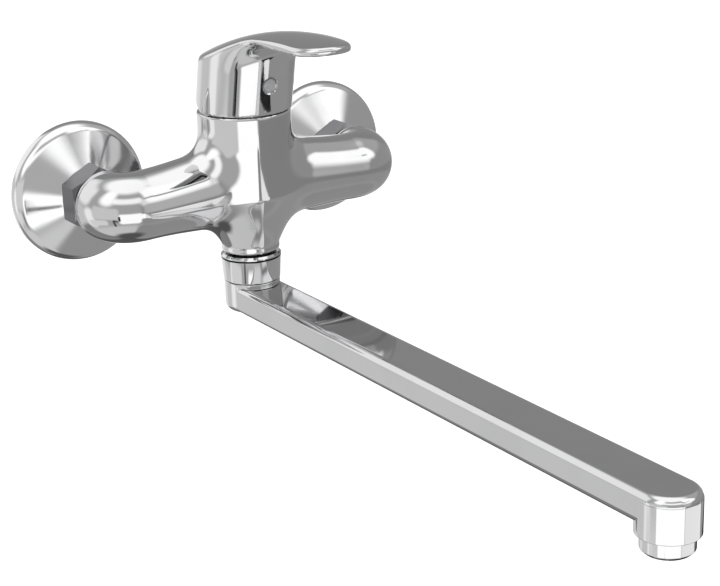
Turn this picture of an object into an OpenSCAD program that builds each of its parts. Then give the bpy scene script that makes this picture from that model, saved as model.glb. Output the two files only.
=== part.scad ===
// Wall-mounted single-lever sink mixer with a long swivel spout.
// Frame: the origin is on the finished wall, midway between the two wall threads.
// +X is to the right for someone facing the wall, -Y points out of the wall, +Z is up.
// All sizes are in millimetres.

/* [Wall connections] */
// Distance between the centres of the two wall threads
inlet_pitch = 150; // [140:1:180]
// Distance from the wall to the axis of the barrel
body_reach = 50; // [50:0.5:60]
// Drop from the wall thread down to the union thread
union_offset = 10; // [6:0.5:12]
// Outside diameter of the wall thread, G1/2
wall_thread_d = 20.96; // [20:0.01:22]
// Length of the wall thread behind the wall face
wall_thread_l = 14; // [10:0.5:20]
// Diameter of the relief at the root of the wall thread
wall_relief_d = 18.6; // [17.5:0.1:19.5]
// Width of that relief
wall_relief_w = 1.5; // [1:0.25:2.5]
// Diameter of the shoulder at the wall end of the eccentric union
union_shoulder_d = 24; // [23:0.5:26]
// Thickness of the offset plate of the eccentric union
union_plate_t = 5; // [4:0.5:6]
// Thickness of brass left at the closed end of each bore in the eccentric union
union_skin_t = 1; // [0.8:0.1:1.5]
// Outside diameter of the union thread, G3/4
union_thread_d = 26.44; // [26:0.01:27]
// Waterway diameter in the eccentric union
union_bore_d = 15; // [12:0.5:16]
// Thickness of the inlet washer
inlet_washer_t = 2; // [1.5:0.25:3]
// Hole in the inlet washer
inlet_washer_bore_d = 16; // [14:0.5:18]
// Thickness of the flange on the inlet nipple
nipple_flange_t = 2.7; // [2:0.1:3.5]
// Diameter of the nipple where it passes through the nut
nipple_d = 21; // [19:0.5:22]
// Waterway diameter in the nipple
nipple_bore_d = 15; // [12:0.5:16]
// Depth of the nipple in the body
nipple_socket_l = 6; // [4:0.5:6.5]
// Width of the union nut across its flats
union_nut_af = 32; // [30:0.5:36]
// Length of the union nut
union_nut_l = 14.2; // [13:0.2:14.2]
// Thickness of the lip at the front of the union nut
union_nut_lip_t = 3.2; // [2.5:0.1:4]

/* [Escutcheons] */
// Diameter of the escutcheon at the wall
escutcheon_d = 74.4; // [60:0.2:90]
// Gap between the escutcheon's neck and the union nut
escutcheon_gap = 0.5; // [0.3:0.1:4]
// Straight height of the rim
escutcheon_rim_h = 3; // [1:0.5:5]
// Sheet thickness of the escutcheon
escutcheon_wall = 1.5; // [0.8:0.1:2.5]
// Outside diameter of the threaded neck inside the escutcheon
escutcheon_neck_d = 31; // [30:0.5:36]

/* [Body] */
// Diameter of the barrel
barrel_d = 49.2; // [48:0.2:56]
// Height of the top of the barrel above the arms' axis
barrel_top = 41.5; // [40:0.5:48]
// Depth below the arms' axis at which the barrel starts to taper
barrel_taper_drop = 3; // [0:0.5:8]
// Swell of the tapered part of the barrel
barrel_swell = 2; // [0:0.1:3]
// Diameter of the neck under the barrel
neck_d = 31; // [30:0.5:36]
// Depth of the neck's lower face below the arms' axis
neck_drop = 34.5; // [33:0.5:40]
// Straight length of the neck
neck_l = 4; // [2:0.5:6]
// Chamfer on the edges of the barrel and the neck
body_chamfer = 0.6; // [0.3:0.1:1]
// Outside diameter of each arm
arm_d = 36; // [33:0.5:36]
// Radius of the arm's bend, measured on its centre line
arm_bend_r = 10; // [9.5:0.25:12]
// Diameter of the arm's end face behind the bend
arm_end_d = 31; // [29:0.5:34]
// Length over which the arm's end narrows to that face
arm_end_taper = 3; // [2:0.25:4]
// Extra radius of the arm where it meets the barrel
arm_flare = 4; // [2:0.25:5]
// Rise of the arm's axis where it meets the barrel
arm_rise = 3; // [1:0.25:4]
// Distance from the barrel's axis at which the arm starts to widen
arm_flare_reach = 62; // [56:0.5:64]
// Waterway diameter in each arm
arm_bore_d = 18; // [12:0.5:18]
// Waterway diameter from the wall up to the bend
inlet_bore_d = 17; // [14:0.5:17]
// Distance from the arm's axis to the front end of that waterway
inlet_bore_front = 8; // [7:0.25:8.5]
// Half the thickness of brass left between the hot and cold waterways
web_half = 6; // [5.5:0.25:8]
// Diameter of the threaded spigot under the neck, G3/4
spigot_d = 26.44; // [26:0.01:27]
// Length of the threaded spigot
spigot_l = 11; // [9:0.5:13]
// Room above the spout's turning tube inside the body
stub_headroom = 3; // [2:0.5:5]

/* [Cartridge] */
// Diameter of the cartridge chamber
chamber_d = 40.6; // [40.4:0.2:42]
// Depth of the cartridge chamber below the top of the barrel
chamber_depth = 29; // [28.5:0.5:30]
// Diameter of the cartridge's housing and base
cartridge_d = 40; // [39:0.2:40.2]
// Diameter of the round seals at the ports
seal_d = 10; // [9:0.25:11]
// Thickness of the round seals at the ports
seal_t = 2.2; // [1.5:0.1:3]
// Thickness of the cartridge's base
base_t = 6; // [5:0.5:7]
// Diameter of each water port
port_d = 6; // [5:0.25:6.5]
// Distance of the hot and cold ports from the axis, sideways
port_side = 8; // [8:0.25:9]
// Distance of the hot and cold ports behind the axis
port_back = 4; // [3:0.25:4.5]
// Distance of the mixed-water port in front of the axis
port_front = 8; // [7:0.25:8.5]
// Thickness of each ceramic disc
disc_t = 3; // [2.5:0.1:3.5]
// Diameter of the fixed ceramic disc
fixed_disc_d = 35.8; // [34:0.2:36]
// Diameter of the moving ceramic disc
moving_disc_d = 29; // [28:0.2:29.8]
// Width of the pocket under the moving disc where it reaches the hot and cold ports
pocket_w = 18; // [14:0.5:20]
// Distance from the disc's centre to the front edge of that wide part
pocket_start = 4.8; // [4.5:0.1:6]
// Distance from the disc's centre to the back edge of the pocket
pocket_back = 11.5; // [9:0.5:12]
// Width of the pocket's narrow part, which reaches the mixed-water port
pocket_neck_w = 6; // [4:0.5:6]
// Distance from the disc's centre to the front edge of the narrow part
pocket_front = 6.8; // [5:0.1:7]
// Depth of the pocket
pocket_depth = 1.8; // [1:0.1:2.2]
// Thickness of the disc carrier
carrier_t = 4; // [3.5:0.1:4.5]
// Diameter of the disc carrier
carrier_d = 28; // [24:0.5:29]
// Thickness of the carrier's floor under the stem's ball
carrier_floor_t = 0.5; // [0.3:0.1:0.6]
// Inside diameter of the housing round the discs
housing_bore_d = 36.2; // [36:0.1:36.8]
// Thickness of the flange on the stem guide
guide_flange_t = 3.3; // [2.5:0.1:3.5]
// Thickness of the housing's top over that flange
housing_cap_t = 1; // [0.8:0.1:1.5]
// Outside diameter of the housing's neck
housing_neck_d = 31.2; // [30:0.2:32]
// Height of the housing's neck above the lever's pivot
housing_neck_rise = 4; // [3:0.5:4]
// Diameter of the stem guide in the neck
guide_d = 25; // [24:0.5:26]
// Height of the stem guide above the lever's pivot
guide_rise = 5; // [4:0.25:6]
// Diameter of the pivot pin
pin_d = 4; // [3:0.25:5]
// Length of the pivot pin
pin_l = 23; // [20:0.5:24]
// Width and depth of the square stem
stem_w = 8; // [7:0.25:9]
// Height of the stem above the pivot
stem_rise = 27; // [25:0.5:29]
// Length of the stem's short arm below the pivot
stem_drop = 13; // [12:0.1:13]
// Diameter of the ball at the lower end of the stem
stem_ball_d = 6; // [5:0.2:6]
// Diameter of the stem between the pivot and the ball
stem_neck_d = 4.2; // [3:0.2:4.6]
// Width left on the dome's foot round the retaining nut's collar
collar_inset = 2.8; // [2.4:0.1:3.4]
// Height of the retaining nut's collar above the barrel
collar_rise = 3.4; // [2:0.2:4]
// Number of spanner notches in the retaining nut
collar_notches = 6; // [4:1:8]
// Width of each spanner notch
notch_w = 4; // [3:0.5:6]
// Depth of each spanner notch
notch_depth = 1.7; // [1:0.1:2]
// Gap between the dome and the inside of the handle
dome_gap = 0.8; // [0.5:0.1:1.2]
// Wall thickness of the dome
dome_wall = 1.5; // [1:0.1:2]
// Height of the dome's top edge above the lever's pivot
dome_rise = 11; // [8:0.5:12]

/* [Handle] */
// Diameter of the handle's skirt
skirt_d = 50; // [49.4:0.2:56]
// Wall thickness of the handle's skirt
skirt_wall = 2.4; // [2:0.1:2.6]
// Angle through which the lever lifts
lift_range = 25; // [20:1:26]
// Gap between the handle and the top of the barrel
handle_gap = 0.8; // [0.5:0.1:1.5]
// Height of the lever's crest above the pivot
crest_rise = 47.4; // [44:0.2:50]
// Distance from the barrel's axis to the crest
crest_reach = 67; // [60:0.5:75]
// Radius of the lever's long arch
arch_r = 212; // [190:1:280]
// Radius of the crown across the handle
crown_r = 50; // [46:0.5:60]
// Distance from the barrel's axis to the tip of the lever
lever_reach = 94; // [80:1:130]
// Width of the lever's blade
lever_w = 31.4; // [26:0.2:40]
// Width of the lever at the barrel's axis, inside the skirt
lever_root_w = 27; // [22:0.5:34]
// Length over which the blade rounds off to the tip
lever_round_l = 19; // [14:0.5:24]
// Thickness of the lever at its tip
lever_tip_t = 4.2; // [3:0.1:6]
// Thickness of the lever where it leaves the skirt
lever_root_t = 5; // [4.2:0.1:9]
// Diameter of the hub that holds the stem
hub_d = 16; // [14:0.5:18]
// Gap between the hub and the pivot, along the stem
hub_rise = 8; // [7.5:0.25:9]
// Height of the grub screw and index plug above the pivot, along the stem
screw_rise = 22.5; // [20:0.5:24]
// Diameter of the grub screw
screw_d = 5; // [4:0.5:6]
// Diameter of the index plug's stem
plug_d = 7; // [6:0.5:8]
// Diameter of the recess round the index plug
plug_recess_d = 8.6; // [8:0.2:10]
// Depth of that recess
plug_recess_depth = 1.2; // [0.6:0.1:1.4]
// Straight length of the index plug
plug_t = 1.5; // [1:0.1:1.8]
// Height of the index plug's domed front
plug_dome_h = 1; // [0.5:0.1:1.5]
// Length of the grub screw
screw_l = 8; // [5:0.5:14]
// Width of the hexagon socket in the grub screw, across its corners
screw_socket_d = 2.9; // [2:0.1:3]
// Depth of that socket
screw_socket_depth = 2.5; // [1.5:0.1:3]

/* [Spout] */
// Distance from the barrel's axis to the outlet's axis
spout_l = 328; // [150:1:400]
// Width of the flat spout
spout_w = 27; // [24:0.5:29]
// Height of the flat spout
spout_h = 15; // [13:0.5:18]
// Corner radius of the flat spout's section
spout_corner_r = 4; // [2:0.5:6]
// Drop from the drum's top to the flat spout's top
bar_drop = 1.5; // [1:0.1:3]
// Wall thickness of the spout
spout_wall = 1.5; // [1:0.1:2]
// Diameter of the spout's drum under the nut
drum_d = 29.8; // [27:0.2:31]
// Diameter of the tube that turns inside the body
stub_d = 18; // [17.5:0.5:19]
// Waterway diameter in that tube
stub_bore_d = 12; // [10:0.5:12]
// Length of that tube above the drum
stub_l = 29; // [26:0.5:31]
// Diameter of the shoulder at the foot of that tube
stub_shoulder_d = 20.8; // [20:0.1:22]
// Diameter of the spout nut at its top
spout_nut_d = 32.7; // [31:0.1:35]
// Diameter of the spout nut at its lower edge
spout_nut_low_d = 30.4; // [30:0.1:33]
// Length of the spout nut
spout_nut_l = 15.2; // [14:0.2:17]
// Thickness of the lip under the spout nut
spout_nut_lip_t = 1.8; // [1.5:0.1:2.2]
// Height of the straight band round the top of the spout nut
spout_nut_band_h = 1.5; // [0.5:0.1:3]
// Chamfer on the spout nut's top edge
spout_nut_chamfer = 1; // [0.5:0.1:1.5]
// Thickness of the slip ring that carries the spout
slip_ring_t = 2.8; // [2:0.1:2.9]
// Outside diameter of the slip ring
slip_ring_d = 24; // [22:0.2:25]
// Depth of the groove that holds the slip ring
slip_ring_groove = 0.6; // [0.4:0.1:1]
// Width of the split that lets the slip ring open
slip_ring_split = 2; // [1:0.5:4]
// Section diameter of the O-rings on the turning tube
o_ring_t = 2; // [1.6:0.1:2.1]
// Distance of the upper O-ring from the top of the tube
o_ring_inset = 4; // [3:0.5:6]
// Distance between the two O-rings
o_ring_pitch = 6; // [4:0.5:8]

/* [Outlet] */
// Diameter of the outlet's round spigot
outlet_d = 27.6; // [26:0.2:30]
// Height of the outlet below the flat spout
outlet_drop = 4.7; // [3:0.1:12]
// Waterway diameter in the outlet above the aerator
outlet_bore_d = 18; // [14:0.5:18]
// Diameter of the aerator's collar
aerator_d = 23; // [22:0.2:24]
// Visible height of the aerator's collar
aerator_h = 8; // [6:0.5:10]
// Chamfer round the foot of the collar
aerator_chamfer = 1.5; // [0.5:0.1:2]
// Diameter of the aerator's thread, M22
aerator_thread_d = 21.9; // [21:0.1:22]
// Length of the aerator's thread inside the outlet
aerator_thread_l = 6; // [5:0.5:7]
// Diameter of the jet insert
insert_d = 19; // [17:0.5:19.4]
// Inset of the jet insert above the collar's foot
insert_inset = 1; // [0.5:0.1:2]
// Wall thickness of the jet insert
insert_wall = 1.5; // [1:0.1:2]
// Hole in the top of the jet insert
insert_hole_d = 11; // [8:0.5:14]
// Thickness of the grid across the jet insert
grid_t = 1.2; // [1:0.1:2]
// Number of bars across the grid each way
grid_bars = 4; // [3:1:5]
// Width of each bar of the grid
grid_bar_w = 1; // [0.6:0.1:1.4]
// Thickness of the aerator washer
aerator_washer_t = 2; // [1.5:0.1:2.5]
// Hole in the aerator washer
aerator_washer_bore_d = 15; // [13:0.5:17]

/* [Fits] */
// Radial play of a turning fit
running_play = 0.08; // [0.05:0.01:0.1]
// Radial play of a threaded joint
thread_play = 0.05; // [0.02:0.01:0.1]
// Gap between pieces that move past each other
moving_gap = 0.3; // [0.2:0.05:0.5]
// Gap between flat faces that slide on each other
face_gap = 0.1; // [0.05:0.01:0.15]
// Gap between a union nut and the arm's end face
nut_gap = 1.5; // [1:0.1:2]
// Gap between the spout nut and the neck above it
groove_gap = 0.8; // [0.6:0.1:1.2]

/* [Hidden] */
$fn = 96;
// Extra length that carries a cut past the face it opens
over = 1;

// Distances out from the wall, along an inlet
nut_end = body_reach - arm_d / 2 - moving_gap;
nut_start = nut_end - union_nut_l;
flange_end = nut_end - union_nut_lip_t - face_gap;
washer_end = flange_end - nipple_flange_t;
union_reach = washer_end - inlet_washer_t;
arm_end = nut_end + nut_gap;
escutcheon_h = nut_start - escutcheon_gap;
flange_d = union_thread_d - 2;

// Diameters of the dome inside the handle and of the collar inside the dome
dome_d = skirt_d - 2 * skirt_wall - 2 * dome_gap;
collar_d = dome_d - 2 * collar_inset;

// Heights in the body's frame, whose origin is on the barrel's axis at the arms' height
pivot_z = barrel_top;
chamber_floor = barrel_top - chamber_depth;
base_top = chamber_floor + base_t;
fixed_disc_top = base_top + disc_t;
moving_disc_bottom = fixed_disc_top + face_gap;
carrier_bottom = moving_disc_bottom + disc_t;
carrier_top = carrier_bottom + carrier_t;
guide_bottom = carrier_top + moving_gap;
guide_flange_top = guide_bottom + guide_flange_t;
housing_shoulder = guide_flange_top + face_gap + housing_cap_t;
housing_top = pivot_z + housing_neck_rise;
spigot_end = -neck_drop - spigot_l;
nut_top = -neck_drop - groove_gap;
nut_bottom = nut_top - spout_nut_l;
lip_top = nut_bottom + spout_nut_lip_t;
slip_ring_bottom = lip_top + face_gap;
drum_top = nut_bottom - moving_gap;
bar_top = drum_top - bar_drop;
bar_bottom = bar_top - spout_h;
outlet_bottom = bar_bottom - outlet_drop;

// The stem leans forward by half the lift at rest and back by half of it when fully lifted
lean = lift_range / 2;
disc_travel = 2 * stem_drop * sin(lean);
stub_top = drum_top + stub_l;
stub_bore_top = stub_top + stub_headroom;
o_ring_groove_d = stub_d - 2 * o_ring_t - 2 * face_gap;
slip_ring_bore_d = stub_d - 2 * slip_ring_groove;

// The lever's underside is the arch of its top, moved forward and down
root_slope = (crest_reach - skirt_d / 2) / arch_r;
tip_slope = (crest_reach - lever_reach) / arch_r;
under_shift = (lever_root_t - lever_tip_t) / (root_slope - tip_slope);
under_drop = lever_tip_t - under_shift * tip_slope;

// Turns children so that their own +Z points straight out of the wall
module from_wall(x, z) {
    translate([x, 0, z])
        rotate([90, 0, 0])
            children();
}

// Puts children on the inlet axis of one side, -1 for left and 1 for right
module at_inlet(side) {
    from_wall(side * inlet_pitch / 2, -union_offset)
        children();
}

// Puts children in the body's frame
module at_body() {
    translate([0, -body_reach, -union_offset])
        children();
}

// Puts children in the frame of the stem, which leans forward at rest
module at_stem() {
    at_body()
        translate([0, 0, pivot_z])
            rotate([lean, 0, 0])
                children();
}

// Puts children on the outlet's axis at the lower face of the outlet
module at_outlet() {
    at_body()
        translate([0, -spout_l, outlet_bottom])
            children();
}

// A straight tube on +Z
module ring(h, outer_d, inner_d) {
    difference() {
        cylinder(h = h, d = outer_d);
        translate([0, 0, -over])
            cylinder(h = h + 2 * over, d = inner_d);
    }
}

// Wall connections

module eccentric_union(side) {
    wall_z = union_offset;
    color("goldenrod")
    at_inlet(side)
        difference() {
            union() {
                translate([0, wall_z, -wall_thread_l])
                    cylinder(h = wall_thread_l - wall_relief_w, d = wall_thread_d);
                translate([0, wall_z, -wall_thread_l])
                    cylinder(h = wall_thread_l + union_plate_t, d = wall_relief_d);
                translate([0, wall_z, 0])
                    cylinder(h = union_plate_t, d = union_shoulder_d);
                cylinder(h = union_reach, d = union_thread_d);
                translate([-union_shoulder_d / 2, 0, 0])
                    cube([union_shoulder_d, wall_z, union_plate_t]);
            }
            translate([0, wall_z, -wall_thread_l - over])
                cylinder(h = wall_thread_l + union_plate_t - union_skin_t + over, d = union_bore_d);
            translate([0, 0, union_skin_t])
                cylinder(h = union_reach + over, d = union_bore_d);
        }
}

module inlet_washer(side) {
    color("dimgray")
    at_inlet(side)
        translate([0, 0, union_reach])
            ring(inlet_washer_t, flange_d, inlet_washer_bore_d);
}

module inlet_nipple(side) {
    color("silver")
    at_inlet(side)
        difference() {
            union() {
                translate([0, 0, washer_end])
                    cylinder(h = nipple_flange_t, d = flange_d);
                translate([0, 0, washer_end])
                    cylinder(h = arm_end + nipple_socket_l - washer_end, d = nipple_d);
            }
            translate([0, 0, washer_end - over])
                cylinder(h = arm_end + nipple_socket_l, d = nipple_bore_d);
        }
}

module union_nut(side) {
    corner_d = union_nut_af / cos(30);
    chamfer = (corner_d - union_nut_af) / 2;
    color("silver")
    at_inlet(side)
        difference() {
            intersection() {
                translate([0, 0, nut_start])
                    rotate(30)
                        cylinder(h = union_nut_l, d = corner_d, $fn = 6);
                union() {
                    translate([0, 0, nut_start])
                        cylinder(h = union_nut_l - chamfer, d = corner_d + over);
                    translate([0, 0, nut_end - chamfer])
                        cylinder(h = chamfer, d1 = corner_d + over, d2 = union_nut_af);
                }
            }
            translate([0, 0, nut_start - over])
                cylinder(h = flange_end + face_gap - nut_start + over, d = union_thread_d + 2 * thread_play);
            translate([0, 0, nut_start])
                cylinder(h = union_nut_l + over, d = nipple_d + 2 * thread_play);
        }
}

// Height of the dome of an escutcheon at radius r, for a shell lowered by sink
function dome_height(r, sink = 0) =
    let (inner = escutcheon_neck_d / 2, outer = escutcheon_d / 2 - sink)
    let (t = max(0, min(1, (r - inner) / (outer - inner))))
    escutcheon_rim_h + (escutcheon_h - escutcheon_rim_h - sink) * sqrt(1 - t * t);

function dome_outline(sink, steps = 12) =
    let (inner = escutcheon_neck_d / 2, outer = escutcheon_d / 2 - sink)
    [for (i = [0:steps]) let (r = inner + (outer - inner) * sin(90 * i / steps)) [r, dome_height(r, sink)]];

module escutcheon(side) {
    bore = union_thread_d / 2 + thread_play;
    color("silver")
    at_inlet(side)
        rotate_extrude()
            difference() {
                polygon(concat([[bore, escutcheon_h]], dome_outline(0), [[escutcheon_d / 2, 0], [bore, 0]]));
                polygon(concat(
                    [[escutcheon_neck_d / 2, -over]],
                    dome_outline(escutcheon_wall),
                    [[escutcheon_d / 2 - escutcheon_wall, -over]]
                ));
                translate([bore - over, -over])
                    square([escutcheon_neck_d / 2 - bore + 2 * over, union_plate_t + moving_gap + over]);
            }
}

// Body

// Radius of an arm's horn at distance x from the barrel's axis
function arm_radius(x) = arm_d / 2 + arm_flare * (1 + cos(180 * min(1, x / arm_flare_reach))) / 2;

// Radius of the barrel below the start of its taper, for t from 0 to 1
function taper_radius(t) = barrel_d / 2 + (neck_d - barrel_d) / 2 * t - barrel_swell / 2 * sin(360 * t) / 2;

module barrel_shape() {
    taper_end = neck_l - neck_drop;
    rotate_extrude()
        polygon(concat(
            [
                [0, barrel_top],
                [barrel_d / 2 - body_chamfer, barrel_top],
                [barrel_d / 2, barrel_top - body_chamfer]
            ],
            [for (i = [0:8]) [
                taper_radius(i / 8),
                -barrel_taper_drop + (taper_end + barrel_taper_drop) * i / 8
            ]],
            [
                [neck_d / 2, body_chamfer - neck_drop],
                [neck_d / 2 - body_chamfer, -neck_drop],
                [0, -neck_drop]
            ]
        ));
    translate([0, 0, spigot_end])
        cylinder(h = spigot_l + over, d = spigot_d);
}

// The right arm's horn: it widens and rises towards the barrel, round an axis that tilts with it
module arm_horn(steps = 9) {
    tilt = atan(arm_rise / arm_flare_reach);
    length = arm_flare_reach / cos(tilt);
    translate([0, 0, arm_rise])
        rotate([0, 90 + tilt, 0])
            rotate_extrude()
                polygon(concat(
                    [[0, 0]],
                    [for (i = [0:steps]) [arm_radius(arm_flare_reach * i / steps), length * i / steps]],
                    [[0, length]]
                ));
}

// The arm's round section, clipped at the centre of a bend that is tighter than the section
module bend_section(r) {
    intersection() {
        translate([arm_bend_r, 0])
            circle(r = r);
        translate([0, -2 * r])
            square([arm_bend_r + 2 * r, 4 * r]);
    }
}

module arm() {
    start_x = inlet_pitch / 2 - arm_bend_r;
    r = arm_d / 2;
    reach = body_reach - arm_end;
    arm_horn();
    rotate([0, 90, 0])
        cylinder(h = start_x, r = r);
    translate([start_x, arm_bend_r, 0])
        rotate([0, 0, -90])
            rotate_extrude(angle = 90)
                bend_section(r);
    translate([inlet_pitch / 2, 0, 0])
        rotate([-90, 0, 0]) {
            translate([0, 0, arm_bend_r])
                cylinder(h = reach - arm_bend_r - arm_end_taper, r = r);
            translate([0, 0, reach - arm_end_taper])
                cylinder(h = arm_end_taper, r1 = r, r2 = arm_end_d / 2);
        }
}

// The way through an arm: a hole along the arm that meets a wider or narrower one from the wall
module arm_waterway() {
    translate([web_half, 0, 0])
        rotate([0, 90, 0])
            cylinder(h = inlet_pitch / 2 - web_half, d = arm_bore_d);
    translate([inlet_pitch / 2, -inlet_bore_front, 0])
        rotate([-90, 0, 0])
            cylinder(h = inlet_bore_front + body_reach - arm_end + over, d = inlet_bore_d);
}

module body() {
    color("silver")
    at_body()
        difference() {
            union() {
                barrel_shape();
                for (side = [0, 1])
                    mirror([side, 0, 0])
                        arm();
            }
            translate([0, 0, chamber_floor])
                cylinder(h = chamber_depth + over, d = chamber_d);
            for (side = [0, 1])
                mirror([side, 0, 0]) {
                    arm_waterway();
                    translate([port_side, port_back, 0])
                        cylinder(h = chamber_floor + over, d = port_d);
                    translate([inlet_pitch / 2, body_reach - arm_end - nipple_socket_l, 0])
                        rotate([-90, 0, 0])
                            cylinder(h = nipple_socket_l + over, d = nipple_d + 2 * thread_play);
                }
            translate([0, -port_front, stub_bore_top - over])
                cylinder(h = chamber_floor - stub_bore_top + 2 * over, d = port_d);
            translate([0, 0, spigot_end - over])
                cylinder(h = stub_bore_top - spigot_end + over, d = stub_d + 2 * running_play);
        }
}

// Cartridge

// Puts a copy of children at each of the three ports
module at_ports() {
    for (side = [-1, 1])
        translate([side * port_side, port_back, 0])
            children();
    translate([0, -port_front, 0])
        children();
}

module port_seals() {
    color("black")
    at_body()
        at_ports()
            translate([0, 0, chamber_floor])
                ring(seal_t, seal_d, port_d);
}

module cartridge_base() {
    color("ivory")
    at_body()
        difference() {
            translate([0, 0, chamber_floor])
                cylinder(h = base_t, d = cartridge_d);
            at_ports()
                translate([0, 0, chamber_floor - over])
                    cylinder(h = base_t + 2 * over, d = port_d);
            at_ports()
                translate([0, 0, chamber_floor - over])
                    cylinder(h = seal_t + over, d = seal_d);
        }
}

module fixed_disc() {
    color("white")
    at_body()
        difference() {
            translate([0, 0, base_top])
                cylinder(h = disc_t, d = fixed_disc_d);
            at_ports()
                translate([0, 0, base_top - over])
                    cylinder(h = disc_t + 2 * over, d = port_d);
        }
}

module moving_disc() {
    color("white")
    at_body()
        translate([0, disc_travel / 2, moving_disc_bottom])
            difference() {
                cylinder(h = disc_t, d = moving_disc_d);
                translate([-pocket_w / 2, pocket_start, -over])
                    cube([pocket_w, pocket_back - pocket_start, pocket_depth + over]);
                translate([-pocket_neck_w / 2, -pocket_front, -over])
                    cube([pocket_neck_w, pocket_front + pocket_back, pocket_depth + over]);
            }
}

module disc_carrier() {
    color("ivory")
    at_body()
        translate([0, disc_travel / 2, carrier_bottom])
            difference() {
                cylinder(h = carrier_t, d = carrier_d);
                translate([0, 0, carrier_floor_t])
                    cylinder(h = carrier_t, d = stem_ball_d + 2 * moving_gap);
            }
}

module cartridge_housing() {
    color("ivory")
    at_body()
        difference() {
            union() {
                translate([0, 0, base_top])
                    cylinder(h = housing_shoulder - base_top, d = cartridge_d);
                translate([0, 0, base_top])
                    cylinder(h = housing_top - base_top, d = housing_neck_d);
            }
            translate([0, 0, base_top - over])
                cylinder(h = guide_flange_top + face_gap - base_top + over, d = housing_bore_d);
            translate([0, 0, base_top])
                cylinder(h = housing_top - base_top + over, d = guide_d + 2 * running_play);
        }
}

module stem_guide() {
    slot_w = stem_w + 2 * moving_gap;
    slot_l = 2 * (stem_drop * sin(lean) + stem_w / 2 + 1);
    color("dimgray")
    at_body()
        difference() {
            union() {
                translate([0, 0, guide_bottom])
                    cylinder(h = guide_flange_t, d = housing_bore_d - 2 * moving_gap);
                translate([0, 0, guide_bottom])
                    cylinder(h = pivot_z + guide_rise - guide_bottom, d = guide_d);
            }
            translate([-slot_w / 2, -slot_l / 2, guide_bottom - over])
                cube([slot_w, slot_l, guide_rise + pivot_z - guide_bottom + 2 * over]);
            translate([-pin_l / 2 - over, 0, pivot_z])
                rotate([0, 90, 0])
                    cylinder(h = pin_l + 2 * over, d = pin_d + 2 * thread_play);
        }
}

module pivot_pin() {
    color("gray")
    at_body()
        translate([-pin_l / 2, 0, pivot_z])
            rotate([0, 90, 0])
                cylinder(h = pin_l, d = pin_d);
}

module stem() {
    color("gray")
    at_stem()
        difference() {
            union() {
                translate([-stem_w / 2, -stem_w / 2, -stem_w / 2])
                    cube([stem_w, stem_w, stem_rise + stem_w / 2]);
                translate([0, 0, -stem_drop])
                    cylinder(h = stem_drop, d = stem_neck_d);
                translate([0, 0, -stem_drop])
                    sphere(d = stem_ball_d);
            }
            translate([-stem_w, 0, 0])
                rotate([0, 90, 0])
                    cylinder(h = 2 * stem_w, d = pin_d + 2 * running_play);
        }
}

module retaining_nut() {
    thread_d = chamber_d - 2 * thread_play;
    bore_d = housing_neck_d + 2 * thread_play;
    color("goldenrod")
    at_body()
        difference() {
            union() {
                translate([0, 0, housing_shoulder])
                    cylinder(h = barrel_top - housing_shoulder, d = thread_d);
                translate([0, 0, barrel_top])
                    cylinder(h = collar_rise, d = collar_d);
            }
            translate([0, 0, housing_shoulder - over])
                cylinder(h = barrel_top + collar_rise - housing_shoulder + 2 * over, d = bore_d);
            for (i = [1:collar_notches])
                rotate(360 * i / collar_notches)
                    translate([0, -notch_w / 2, barrel_top + collar_rise - notch_depth])
                        cube([collar_d, notch_w, notch_depth + over]);
        }
}

module dome_cover() {
    seat = barrel_top + face_gap;
    color("silver")
    at_body()
        difference() {
            intersection() {
                translate([0, 0, pivot_z])
                    sphere(d = dome_d);
                translate([0, 0, seat])
                    cylinder(h = dome_rise - face_gap, d = dome_d + over);
            }
            difference() {
                translate([0, 0, pivot_z])
                    sphere(d = dome_d - 2 * dome_wall);
                translate([0, 0, seat - over])
                    cylinder(h = collar_rise + over, d = dome_d);
            }
            translate([0, 0, seat - over])
                cylinder(h = collar_rise + 2 * over, d = collar_d + 2 * thread_play);
        }
}

// Handle

// The arched and crowned solid whose skin is the handle's top
module arch() {
    translate([0, -crest_reach, crest_rise - arch_r])
        rotate([0, 90, 0])
            rotate_extrude()
                translate([arch_r - crown_r, 0])
                    circle(r = crown_r);
}

// Half width of the lever at distance u from the barrel's axis
function lever_half_w(u) =
    let (round_start = lever_reach - lever_round_l)
    let (t = max(0, (u - round_start) / lever_round_l))
    let (s = max(0, (round_start - u) / round_start))
    (lever_w / 2 - (lever_w - lever_root_w) / 2 * s * s) * sqrt(max(0, 1 - t * t));

module lever_blade(steps = 18) {
    start = 10;
    stations = [for (i = [0:steps]) start + (lever_reach - start) * (1 - pow(1 - i / steps, 1.8))];
    difference() {
        intersection() {
            linear_extrude(height = crest_rise + over)
                polygon(concat(
                    [for (u = stations) [lever_half_w(u), -u]],
                    [for (i = [steps - 1:-1:0]) [-lever_half_w(stations[i]), -stations[i]]]
                ));
            arch();
        }
        translate([0, -under_shift, -under_drop])
            arch();
    }
}

// The skirt's outside, open at the bottom along two planes that let the handle rock
module skirt_shape() {
    back = skirt_d;
    intersection() {
        rotate([lean, 0, 0])
            translate([0, 0, -skirt_d / 2])
                cylinder(h = 2 * skirt_d, d = skirt_d);
        arch();
        rotate([90, 0, 90])
            translate([0, 0, -skirt_d])
                linear_extrude(height = 2 * skirt_d)
                    polygon([
                        [0, handle_gap],
                        [-skirt_d, handle_gap],
                        [-skirt_d, crest_rise],
                        [back, crest_rise],
                        [back, handle_gap + back * tan(lift_range + 1)]
                    ]);
    }
}

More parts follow.
